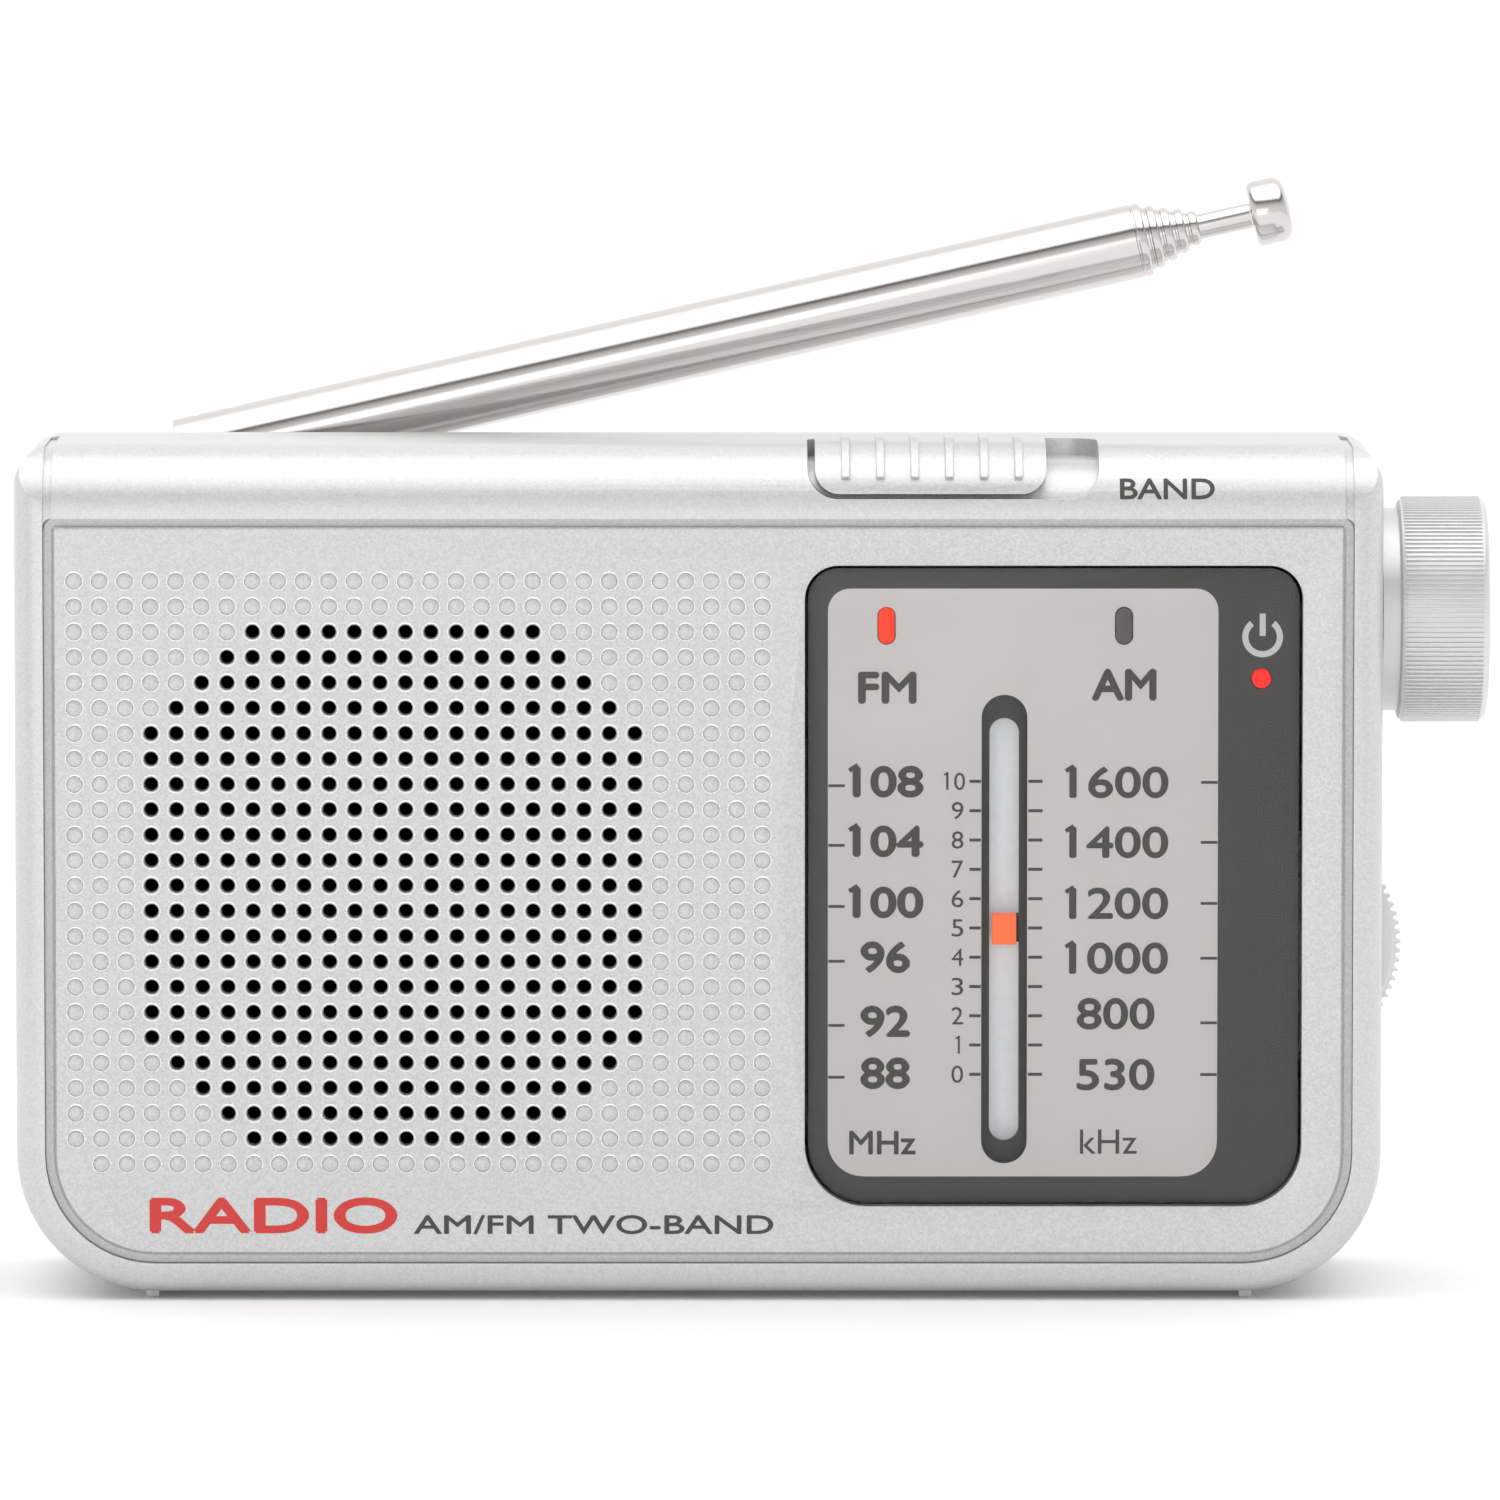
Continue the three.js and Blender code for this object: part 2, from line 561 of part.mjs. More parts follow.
const eye = turnedY(rodPoints(2.7, -eyeHalf, eyeHalf), 0, 0, 24)
  .add(block(0, barrelStart + 1, -eyeHalf, eyeHalf, -1.9, 1.9))
  .add(turnedX(rodPoints(3.1, barrelStart + 0.2, barrelStart + 5), 0, 0, 24))
  .subtract(turnedY(rodPoints(pinRadius + gap, -3, 3), 0, 0, 16));
add('antenna_plug', eye, ...chrome, antenna);

const tubeRoot = 12;
sectionRadii.forEach((radius, index) => {
  const last = sectionRadii.length - 1;
  const from = index === 0 ? barrelStart : tubeRoot + index;
  const to = index === last ? rodEnd - gap : barrelEnd + index * ringStep;
  const points = index === last
    ? rodPoints(radius, from, to)
    : tubePoints(radius - sectionWall, radius, from, to);
  const name = index === 0 ? 'antenna_barrel' : index === last ? 'antenna_rod' : `antenna_tube_${index}`;
  add(name, turnedX(points, 0, 0, 24), ...chrome, antenna);
});
add('antenna_tip', turnedX([[0, rodEnd], [tipRadius - 0.6, rodEnd], [tipRadius, rodEnd + 0.6],
  [tipRadius, rodEnd + tipLength - 0.6], [tipRadius - 0.6, rodEnd + tipLength], [0, rodEnd + tipLength]],
  0, 0, 24), ...chrome, antenna);

// ---------- loudspeaker ----------
const speakerRadius = 28.5;
const speakerY = innerFrontY + gap;
const fromFront = (points) => points.map(([r, d]) => [r, speakerY + d]);
const speaker = (points, steps) => turnedY(fromFront(points), grilleX, grilleZ, steps);
add('speaker_basket', speaker([[26.3, 0], [speakerRadius, 0], [speakerRadius, 1], [26.6, 1], [14.8, 9.7],
  [5, 9.7], [5, 8.9], [14.2, 8.9], [25.7, 1], [26.3, 0]], 40), 0x8d8f91, 0.4, 0.8);
add('speaker_cone', speaker([[25, 0], [25, 0.5], [6, 6.4], [6, 5.9], [25, 0]], 40), 0x1c1b1b, 0.9);
add('speaker_dust_cap', speaker([
  [0, 3.9], [3, 4.2], [5.4, 4.9], [6.2, 5.4], [5.6, 5.4], [3, 4.7], [0, 4.4],
], 24), 0x161616, 0.7);
add('speaker_magnet', speaker(tubePoints(5, 12, 10, 14.3), 32), 0x3c3b3c, 0.7);
add('speaker_back_plate', speaker(rodPoints(11, 14.6, 15.5), 32), ...steel);

// ---------- electronics ----------
const board = block(5.5, 57.5, boardY, boardY + boardThick, 7, 54)
  .add(block(57, 64.5, boardY, boardY + boardThick, 20, 45))
  .subtract(block(cordX - 1.7, cordX + 1.7, 0, 5, pulleyZ + 4, 60));
add('main_board', board, 0x2f6b3c, 0.6);
const partsY = boardY + boardThick + gap;
add('radio_chip', block(20, 32, partsY, partsY + 1.8, 30, 38), 0x1a1a1a, 0.5);
add('filter_capacitor', turnedY(rodPoints(4, partsY, partsY + 10), 48, 44, 24), 0x202a4a, 0.4);
add('coil_can', block(12, 19, partsY, partsY + 8.5, 42, 49), ...steel);
const ferriteY = -6;
const ferriteZ = 76.3;
const ferriteRadius = 4;
add('ferrite_rod', turnedX(rodPoints(ferriteRadius, -50, 5), ferriteY, ferriteZ, 20), 0x3a3836, 0.8);
const coilPoints = tubePoints(ferriteRadius + gap, ferriteRadius + 0.9, -32, -16);
add('ferrite_coil', turnedX(coilPoints, ferriteY, ferriteZ, 24), 0xb06a35, 0.4, 0.5);
const jackBack = -54;
const jack = block(-half + wall + 0.4, jackBack, jackY - 4, jackY + 4, jackZ - 4, jackZ + 4)
  .add(turnedX(rodPoints(jackNose, -half, -half + 4), jackY, jackZ, 24))
  .subtract(turnedX(rodPoints(1.8, -half - 1, -half + 11), jackY, jackZ, 16));
add('earphone_jack', jack, ...darkPlastic);

// ---------- battery bay ----------
const nubLength = 1.2;
const nubRadius = 2.6;
function cellPoints(start, direction) {
  const at = (d) => start + direction * d;
  const points = [
    [0, at(0)], [nubRadius, at(0)], [nubRadius, at(nubLength)],
    [cellRadius - 0.6, at(nubLength)], [cellRadius, at(nubLength + 0.6)],
    [cellRadius, at(cellLength - 0.5)], [cellRadius - 0.5, at(cellLength)], [0, at(cellLength)],
  ];
  return direction > 0 ? points : points.reverse();
}
const springWire = 0.35;
class SpringCurve extends THREE.Curve {
  constructor(x, z, direction) {
    super();
    this.place = [x, z, direction];
  }

  getPoint(t) {
    const [x, z, direction] = this.place;
    const angle = t * 3 * 2 * Math.PI;
    const radius = 4.4 - 2.2 * t;
    const along = x + direction * 2.1 * t;
    return new THREE.Vector3(along, cellY + radius * Math.cos(angle), z + radius * Math.sin(angle));
  }
}
function contactSpring(x, z, direction) {
  const section = new THREE.Shape();
  section.absarc(0, 0, springWire, 0, 2 * Math.PI, false);
  const extrudePath = new SpringCurve(x, z, direction);
  return solid(new THREE.ExtrudeGeometry(section, { steps: 42, curveSegments: 3, extrudePath }));
}
add('battery_1', turnedX(cellPoints(-4.4, -1), cellY, cellZs[0], 28), 0x2c4f86, 0.35, 0.3);
add('battery_2', turnedX(cellPoints(-57.1, 1), cellY, cellZs[1], 28), 0x2c4f86, 0.35, 0.3);
const springEnd = springWire + 0.3;
add('contact_spring_1', contactSpring(bayX0 + 0.8 + springEnd, cellZs[0], 1), ...steel);
add('contact_spring_2', contactSpring(bayX1 - 0.8 - springEnd, cellZs[1], -1), ...steel);
add('link_plate', block(bayX0 + 0.3, bayX0 + 0.7, 4, 15, 7, 33), ...steel);
add('terminal_plate', block(bayX1 - 0.7, bayX1 - 0.3, 4, 15, 7, 33), ...steel);

export default radio;
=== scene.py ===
"""A portable two-band radio: its finishes, its detailed pieces and a plain studio.

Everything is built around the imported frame.
"""
import json
import math
import bmesh
import bpy
from mathutils import Matrix, Vector


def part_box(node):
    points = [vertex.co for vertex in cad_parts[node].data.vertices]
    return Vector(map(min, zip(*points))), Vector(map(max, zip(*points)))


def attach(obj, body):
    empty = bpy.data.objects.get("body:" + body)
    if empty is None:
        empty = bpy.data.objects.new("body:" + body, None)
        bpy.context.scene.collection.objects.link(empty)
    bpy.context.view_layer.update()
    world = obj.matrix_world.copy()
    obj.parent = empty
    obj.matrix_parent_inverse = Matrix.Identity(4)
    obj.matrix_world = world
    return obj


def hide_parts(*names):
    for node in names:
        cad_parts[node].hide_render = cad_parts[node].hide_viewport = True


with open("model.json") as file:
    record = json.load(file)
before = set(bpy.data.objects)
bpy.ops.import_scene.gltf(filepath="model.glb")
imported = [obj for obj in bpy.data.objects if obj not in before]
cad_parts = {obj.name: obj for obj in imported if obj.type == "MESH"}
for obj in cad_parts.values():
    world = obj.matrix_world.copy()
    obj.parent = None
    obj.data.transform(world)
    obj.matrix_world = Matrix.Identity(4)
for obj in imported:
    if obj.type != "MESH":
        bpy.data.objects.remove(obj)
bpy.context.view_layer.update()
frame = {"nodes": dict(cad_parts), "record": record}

# Shapes are worked out in millimetres and brought to metres when a piece is finished.
MM = 0.001


def corners(node):
    low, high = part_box(node)
    return Vector(low) / MM, Vector(high) / MM


# ---------- sizes taken from the frame ----------
case_low, case_high = corners("front_case")
rear_low, rear_high = corners("rear_case")
panel_low, panel_high = corners("front_panel")
window_low, window_high = corners("dial_window")
plate_low, plate_high = corners("dial_plate")
pointer_low, pointer_high = corners("pointer")
knob_low, knob_high = corners("tuning_knob")
wheel_low, wheel_high = corners("volume_wheel")
cap_low, cap_high = corners("band_knob")
door_low, door_high = corners("battery_door")
basket_low, basket_high = corners("speaker_basket")

X_AXIS = (1, 0, 0)
Y_AXIS = (0, 1, 0)
Z_AXIS = (0, 0, 1)

FOOT = 0.7  # height of the ribs that the case stands on
WALL = 2.2
LOWER_CORNER = 13.7
UPPER_CORNER = 4.0
SHOULDER = 7.0  # rounding along the upper front edge
GAP = 0.3  # clearance between neighbouring parts
RIM = 2.9  # rounding of the front edge
MIDDLE = (case_low.x + case_high.x) / 2
SIDE = (case_high.x - case_low.x) / 2
FRONT = case_low.y
SEAM = case_high.y
REAR = rear_high.y
BOTTOM = case_low.z + FOOT
TOP = case_high.z
CHANNEL = 0.88  # width of the groove round the panel
CHANNEL_DEPTH = 1.0
PANEL_INSET = 3.82
PANEL_EDGE = SIDE - PANEL_INSET  # half the width of the panel's raised field
PANEL_LOW = BOTTOM + 3.9
PANEL_HIGH = BOTTOM + 75.75
STEP_Y = 6.5  # the antenna's step behind the flat top
STEP_Z = BOTTOM + 75.4


# ---------- finishes ----------
class Value:
    """A shader socket that can be used in sums."""

    def __init__(self, finish, socket):
        self.finish = finish
        self.socket = socket

    def _sum(self, operation, first, second):
        return self.finish.node("ShaderNodeMath", {"operation": operation}, {0: first, 1: second})

    def __add__(self, other):
        return self._sum("ADD", self, other)

    __radd__ = __add__

    def __mul__(self, other):
        return self._sum("MULTIPLY", self, other)

    __rmul__ = __mul__

    def __gt__(self, other):
        return self._sum("GREATER_THAN", self, other)


class Finish:
    """One material: a Principled shader with set values, and what varies over the surface."""

    def __init__(self, name, color, **shader):
        self.material = bpy.data.materials.new(name)
        self.material.use_nodes = True
        self.tree = self.material.node_tree
        self.shader = self.tree.nodes["Principled BSDF"]
        self.shader.inputs["Base Color"].default_value = (*color, 1)
        for socket, value in shader.items():
            self.shader.inputs[socket.replace("_", " ")].default_value = value

    def join(self, value, socket):
        if isinstance(value, Value):
            self.tree.links.new(value.socket, socket)
        else:
            socket.default_value = value

    def node(self, kind, settings=None, sockets=None, output=0):
        made = self.tree.nodes.new(kind)
        for name, value in (settings or {}).items():
            setattr(made, name, value)
        for key, value in (sockets or {}).items():
            self.join(value, made.inputs[key])
        return Value(self, made.outputs[output])

    def feed(self, socket, value):
        self.join(value, self.shader.inputs[socket])

    def place(self, stretch, turn=(0, 0, 0)):
        """Object coordinates, turned and then drawn out along their own axes."""
        where = self.node("ShaderNodeTexCoord", output="Object")
        sockets = {"Vector": where, "Rotation": turn, "Scale": stretch}
        return self.node("ShaderNodeMapping", {"vector_type": "TEXTURE"}, sockets)

    def noise(self, size, detail=2.0, stretch=(1, 1, 1), turn=(0, 0, 0)):
        sockets = {"Vector": self.place(stretch, turn), "Scale": 1 / (size * MM), "Detail": detail}
        return self.node("ShaderNodeTexNoise", sockets=sockets)

    def flakes(self, size):
        sockets = {"Vector": self.place((1, 1, 1)), "Scale": 1 / (size * MM)}
        color = self.node("ShaderNodeTexVoronoi", sockets=sockets, output="Color")
        return self.node("ShaderNodeSeparateColor", sockets={0: color})

    def tint(self, factor, low, high):
        sockets = {0: factor, 6: (*low, 1), 7: (*high, 1)}
        return self.node("ShaderNodeMix", {"data_type": "RGBA"}, sockets, output=2)

    def bump(self, height, depth, strength=1.0):
        sockets = {"Height": height, "Distance": depth * MM, "Strength": strength}
        self.feed("Normal", self.node("ShaderNodeBump", sockets=sockets))


def silver_paint(name, shade, roughness, flake=0.13, speckle=0.05):
    """Satin paint with fine metal flake on moulded plastic."""
    low = [shade * (1 - speckle) * 0.995] * 3
    high = [shade * (1 + speckle)] * 3
    finish = Finish(name, low, Metallic=0.55, Roughness=roughness, Coat_Weight=0.12, Coat_Roughness=0.3)
    grain = finish.flakes(flake)
    cloud = finish.noise(6.0, 3.0)
    finish.feed("Base Color", finish.tint(grain * 0.8 + cloud * 0.2, low, high))
    finish.feed("Roughness", roughness - 0.06 + grain * 0.08 + cloud * 0.05)
    finish.bump(grain * 0.6 + finish.noise(0.22, 2.0) * 0.6, 0.006)
    return finish.material


def moulded(name, color, roughness, speckle=0.06, grain=0.18, depth=0.006, **shader):
    """Moulded plastic with a fine spark-eroded grain."""
    finish = Finish(name, color, Roughness=roughness, **shader)
    fine = finish.noise(grain, 3.0)
    cloud = finish.noise(9.0, 2.0)
    low = [part * (1 - speckle) for part in color]
    high = [min(1.0, part * (1 + speckle)) for part in color]
    finish.feed("Base Color", finish.tint(fine * 0.5 + cloud * 0.5, low, high))
    finish.feed("Roughness", roughness - 0.05 + fine * 0.06 + cloud * 0.05)
    finish.bump(fine, depth)
    return finish.material


def drawn_metal(name, color, roughness, stretch, turn=(0, 0, 0), depth=0.001):
    """Plated metal with fine drawing lines along one direction."""
    finish = Finish(name, color, Metallic=1.0, Roughness=roughness)
    lines = finish.noise(0.16, 3.0, stretch, turn)
    cloud = finish.noise(5.0, 2.0)
    low = [part * 0.93 for part in color]
    finish.feed("Base Color", finish.tint(lines * 0.6 + cloud * 0.4, low, color))
    finish.feed("Roughness", roughness - 0.05 + lines * 0.08 + cloud * 0.04)
    finish.bump(lines, depth)
    return finish.material


def lit_plastic(name, color, glow):
    """Translucent plastic that glows in uneven patches: on the lamp lenses this is the lamps' own light, on
    the slot screen and the pointer it is painted light.
    """
    finish = Finish(name, color, Roughness=0.22, IOR=1.2, Coat_Weight=0.1, Coat_Roughness=0.08)
    cloud = finish.noise(0.8, 2.0)
    finish.feed("Base Color", finish.tint(cloud, [part * 0.85 for part in color], color))
    bright = [min(1.0, part * 1.1 + 0.02) for part in color]
    finish.feed("Emission Color", finish.tint(cloud, color, bright))
    finish.shader.inputs["Emission Strength"].default_value = glow
    finish.bump(cloud, 0.01)
    return finish.material


def printed_ink(name, color):
    """Screen-printed ink: matt, with a slightly uneven film."""
    finish = Finish(name, color, Roughness=0.55)
    film = finish.noise(0.12, 3.0)
    finish.feed("Base Color", finish.tint(film, color, [min(1.0, part * 1.25 + 0.01) for part in color]))
    finish.feed("Roughness", 0.48 + film * 0.16)
    finish.bump(film, 0.002)
    return finish.material


def clear_window():
    """Polished clear plastic: what lies behind shows through, and the surface reflects the room."""
    finish = Finish("clear_window", (0.95, 0.96, 0.97), Roughness=0.04)
    smear = finish.noise(18.0, 2.0)
    finish.feed("Roughness", 0.03 + smear * 0.05)
    clear = finish.node("ShaderNodeBsdfTransparent", sockets={0: (0.995, 0.995, 0.995, 1)})
    gloss = finish.node("ShaderNodeFresnel", sockets={"IOR": 1.25})
    mixed = finish.node("ShaderNodeMixShader", sockets={0: gloss, 1: clear})
    finish.tree.links.new(finish.shader.outputs[0], mixed.socket.node.inputs[2])
    out = finish.tree.nodes["Material Output"]
    finish.tree.links.new(mixed.socket, out.inputs["Surface"])
    finish.shader.inputs["Metallic"].default_value = 1.0
    return finish.material


def woven_thread():
    """Braided dial cord: noise drawn out along one direction for its strands."""
    finish = Finish("cord_thread", (0.4, 0.34, 0.24), Roughness=0.8, Sheen_Weight=0.3)
    strands = finish.noise(0.15, 2.0, (1, 1, 2.5))
    finish.feed("Base Color", finish.tint(strands, (0.3, 0.25, 0.17), (0.5, 0.44, 0.32)))
    finish.bump(strands, 0.05)
    return finish.material


def copper_winding():
    """Close turns of enamelled wire round a rod that lies along X."""
    finish = Finish("coil_copper", (0.62, 0.27, 0.1), Metallic=0.8, Roughness=0.3)
    where = finish.node("ShaderNodeTexCoord", output="Object")
    spacing = {"Vector": where, "Scale": 1 / (2 * MM)}
    turns = finish.node("ShaderNodeTexWave", {"bands_direction": "X"}, spacing)
    finish.feed("Base Color", finish.tint(turns, (0.35, 0.13, 0.05), (0.7, 0.32, 0.13)))
    finish.bump(turns, 0.12)
    return finish.material


def circuit_board():
    """Solder mask over copper tracks, with bright pads here and there."""
    finish = Finish("board_green", (0.03, 0.15, 0.06), Roughness=0.35, Coat_Weight=0.4)
    where = finish.place((1, 1, 1))
    cells = {"Vector": where, "Scale": 1 / (2.5 * MM)}
    tracks = finish.node("ShaderNodeTexVoronoi", {"distance": "MANHATTAN"}, cells) > 0.45
    finish.feed("Base Color", finish.tint(tracks, (0.02, 0.11, 0.04), (0.05, 0.24, 0.1)))
    finish.bump(tracks, 0.03)
    return finish.material


def pressed_paper():
    """Black paper cone with fibres."""
    finish = Finish("cone_paper", (0.018, 0.018, 0.018), Roughness=0.9)
    fibres = finish.noise(0.3, 4.0)
    finish.feed("Base Color", finish.tint(fibres, (0.012, 0.012, 0.012), (0.035, 0.034, 0.033)))
    finish.bump(fibres, 0.04)
    return finish.material


shell_paint = silver_paint("silver_shell", 0.62, 0.36, flake=0.17, speckle=0.09)
panel_paint = silver_paint("silver_panel", 0.58, 0.4, flake=0.19, speckle=0.12)
# A lighter paint for the edges round the grille's holes and dots: a painted highlight where they catch the
# light.
rim_highlight_paint = silver_paint("silver_rim_painted_highlight", 0.88, 0.3, flake=0.19, speckle=0.04)
control_paint = silver_paint("silver_control", 0.68, 0.38, speckle=0.04)
field_print = moulded("dial_print", (0.7, 0.675, 0.665), 0.5, speckle=0.05, grain=0.16, depth=0.001)
mask_print = moulded("dial_mask", (0.036, 0.033, 0.031), 0.4, speckle=0.05, grain=0.1, depth=0.0003)
dark_ink = printed_ink("dark_ink", (0.045, 0.041, 0.038))
pale_ink = printed_ink("pale_ink", (0.62, 0.62, 0.62))
red_ink = printed_ink("red_ink", (0.55, 0.03, 0.025))
nickel = drawn_metal("nickel_tube", (0.66, 0.642, 0.63), 0.13, (60, 1, 1), (0, -math.radians(12.7), 0))
steel = drawn_metal("bright_steel", (0.55, 0.55, 0.55), 0.35, (1, 10, 1))
finishes = {
    "silver_shell": shell_paint,
    "silver_panel": panel_paint,
    "silver_control": control_paint,
    "clear_window": clear_window(),
    "dial_print": field_print,
    "dark_plastic": moulded("dark_plastic", (0.035, 0.034, 0.033), 0.5),
    "guide_plastic": moulded("guide_plastic", (0.022, 0.02, 0.018), 0.45),
    # The slot screen is no lamp: its glow is painted light that stands in for the light the deep slot keeps
    # from it.
    "screen_plastic": lit_plastic("screen_plastic", (0.86, 0.87, 0.89), 0.22),
    # The pointer is no lamp either: its glow is painted light that brightens the orange.
    "pointer_orange": lit_plastic("pointer_orange", (1.0, 0.15, 0.04), 0.45),
    "lamp_orange": lit_plastic("lamp_orange", (0.82, 0.03, 0.0), 0.5),
    "lamp_grey": moulded("lamp_grey", (0.09, 0.083, 0.078), 0.3),
    "led_red": lit_plastic("led_red", (0.85, 0.008, 0.002), 0.55),
    "nickel_tube": nickel,
    "bright_steel": steel,
    "cream_nylon": moulded("cream_nylon", (0.72, 0.68, 0.58), 0.45),
    "cord_thread": woven_thread(),
    "cone_paper": pressed_paper(),
    "ferrite_grey": moulded("ferrite_grey", (0.06, 0.058, 0.056), 0.75, speckle=0.2, depth=0.02),
    "coil_copper": copper_winding(),
    "board_green": circuit_board(),
    "chip_black": moulded("chip_black", (0.02, 0.02, 0.02), 0.55),
    "sleeve_blue": moulded("sleeve_blue", (0.02, 0.04, 0.16), 0.3),
    "cell_label": moulded("cell_label", (0.03, 0.1, 0.33), 0.28, Coat_Weight=0.5),
}
slots = {row["node"]: row["material_slot"] for row in frame["record"]["subparts"]}
for node, cad in frame["nodes"].items():
    cad.data.materials.clear()
    cad.data.materials.append(finishes[slots[node]])


# ---------- shaping ----------
def slab(along, a, b, span, radii=(0, 0, 0, 0), steps=10):
    """A block with rounded outline corners.

    a and b are its ranges across and span its range along the axis. Across X are Y and Z, across
    Y are X and Z, across Z are X and Y. The radii go round from the corner where both are lowest.
    """
    at = {
        "X": lambda u, v: (span[0], u, v),
        "Y": lambda u, v: (u, span[0], v),
        "Z": lambda u, v: (u, v, span[0]),
    }[along]
    bm = bmesh.new()
    ends = ((a[0], b[0]), (a[1], b[0]), (a[1], b[1]), (a[0], b[1]))
    points = [bm.verts.new(at(*end)) for end in ends]
    bm.faces.new(points)
    for point, radius in zip(points, radii):
        if radius:
            bmesh.ops.bevel(bm, geom=[point], offset=radius, offset_type="OFFSET", affect="VERTICES",
                            segments=steps, profile=0.5, material=-1)
    way = {"X": X_AXIS, "Y": Y_AXIS, "Z": Z_AXIS}[along]
    return thicken(bm, Vector(way) * (span[1] - span[0]))


def thicken(bm, step):
    """The flat face drawn out into a solid."""
    raised = bmesh.ops.extrude_face_region(bm, geom=bm.faces[:])
    moved = [item for item in raised["geom"] if isinstance(item, bmesh.types.BMVert)]
    bmesh.ops.translate(bm, verts=moved, vec=step)
    bmesh.ops.recalc_face_normals(bm, faces=bm.faces)
    return bm


def round_edges(bm, chosen, radius, steps=4):
    edges = [edge for edge in bm.edges if chosen(edge)]
    bmesh.ops.bevel(bm, geom=edges, offset=radius, offset_type="OFFSET", affect="EDGES",
                    segments=steps, profile=0.5, material=-1, clamp_overlap=True)
    return bm


def rim_at(axis, place):
    """Chooses the edges that lie in one plane across an axis."""
    return lambda edge: all(abs(v.co[axis] - place) < 1e-4 for v in edge.verts)


def sharp(edge):
    return edge.is_manifold and edge.calc_face_angle() > 0.7


def turned(profile, axis, centre, steps=48):
    """A profile of (radius, distance) points spun about an axis through centre."""
    bm = bmesh.new()
    points = [bm.verts.new((radius, 0, distance)) for radius, distance in profile]
    edges = [bm.edges.new(pair) for pair in zip(points, points[1:])]
    bmesh.ops.spin(bm, geom=points + edges, cent=(0, 0, 0), axis=Z_AXIS, angle=2 * math.pi,
                   steps=steps, use_merge=True)
    bmesh.ops.remove_doubles(bm, verts=bm.verts, dist=1e-5)
    bmesh.ops.transform(bm, matrix=Matrix.Translation(centre) @ turn_to(axis), verts=bm.verts)
    bmesh.ops.recalc_face_normals(bm, faces=bm.faces)
    return bm


def turn_to(axis):
    """The rotation that takes Z to an axis."""
    return Vector(Z_AXIS).rotation_difference(Vector(axis)).to_matrix().to_4x4()


def rod(radius, start, end, axis, centre, steps=48):
    """A plain cylinder about an axis through centre."""
    return turned([(0, start), (radius, start), (radius, end), (0, end)], axis, centre, steps)


def as_object(name, bm):
    mesh = bpy.data.meshes.new(name)
    bm.to_mesh(mesh)
    bm.free()
    made = bpy.data.objects.new(name, mesh)
    bpy.context.scene.collection.objects.link(made)
    return made


def combine(base, tool, operation):
    """base joined with, cut by or limited to tool. Both are bmesh solids, and the result is one too."""
    kept = as_object("kept", base)
    other = as_object("other", tool)
    step = kept.modifiers.new("combine", "BOOLEAN")
    step.operation = operation
    step.object = other
    step.solver = "EXACT"
    shown = kept.evaluated_get(bpy.context.evaluated_depsgraph_get())
    result = bmesh.new()
    result.from_mesh(shown.to_mesh())
    for done in (kept, other):
        mesh = done.data
        bpy.data.objects.remove(done)
        bpy.data.meshes.remove(mesh)
    return result


def cut(base, *tools):
    for tool in tools:
        base = combine(base, tool, "DIFFERENCE")
    return base


def limit(base, *tools):
    for tool in tools:
        base = combine(base, tool, "INTERSECT")
    return base


def gather(*parts):
    """Several separate shells in one bmesh."""
    whole = bmesh.new()
    for part in parts:
        mesh = bpy.data.meshes.new("part")
        part.to_mesh(mesh)
        part.free()
        whole.from_mesh(mesh)
        bpy.data.meshes.remove(mesh)
    return whole


def finished(name, bm, finish, body, replaced=(), crease=32, chamfer=0.0):
    """The bmesh as a piece of the radio, in metres, on its body."""
    bmesh.ops.remove_doubles(bm, verts=bm.verts, dist=2e-4)
    bmesh.ops.dissolve_degenerate(bm, dist=1e-4, edges=bm.edges)
    bmesh.ops.recalc_face_normals(bm, faces=bm.faces)
    bmesh.ops.scale(bm, vec=(MM, MM, MM), verts=bm.verts)
    piece = as_object(name, bm)
    piece.data.materials.append(finish)
    piece.data.polygons.foreach_set("use_smooth", [True] * len(piece.data.polygons))
    piece.data.set_sharp_from_angle(angle=math.radians(crease))
    if chamfer:
        soften = piece.modifiers.new("soften", "BEVEL")
        soften.width = chamfer * MM
        soften.segments = 2
        soften.limit_method = "ANGLE"
        soften.angle_limit = math.radians(crease + 5)
        soften.harden_normals = False
    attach(piece, body)
    if replaced:
        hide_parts(*replaced)
    return piece


# ---------- front case ----------
def outline_block(inset, span):
    """The case's rounded outline as a block between two depths."""
    lower = LOWER_CORNER - inset
    upper = max(UPPER_CORNER - inset, 0.6)
    width = (MIDDLE - SIDE + inset, MIDDLE + SIDE - inset)
    height = (BOTTOM + inset, TOP - inset)
    return slab("Y", width, height, span, (lower, lower, upper, upper), steps=14)


def shoulder_block(inset, reach=(SIDE + 2) * 2, back=SEAM + 5, middle=MIDDLE):
    """A long block with the shoulder's rounding along its upper front edge."""
    width = (middle - reach / 2, middle + reach / 2)
    return slab("X", (FRONT + inset, back), (BOTTOM - 5, TOP - inset), width,
                (0, 0, 0, SHOULDER - inset), steps=16)


def shoulder_skin(outer, inner, x0, x1):
    """The layer between two depths under the shoulder's surface, from x0 to x1."""
    middle = (x0 + x1) / 2
    layer = shoulder_block(outer, x1 - x0, SEAM + 0.5, middle)
    return cut(layer, shoulder_block(inner, x1 - x0 + 2, SEAM + 2, middle))


recess_side = PANEL_EDGE + CHANNEL
recess_top = BOTTOM + 76.5
recess_low = PANEL_LOW - CHANNEL
recess_corner = LOWER_CORNER - (SIDE - recess_side)
panel_back = panel_high.y
wall_front = panel_back + GAP
speaker_x = (basket_low.x + basket_high.x) / 2
speaker_z = (basket_low.z + basket_high.z) / 2
dial_x = (window_low.x - GAP, window_high.x + GAP)
dial_z = (window_low.z - GAP, window_high.z + GAP)
DIAL_LOWER = 6.1
DIAL_UPPER = 3.3


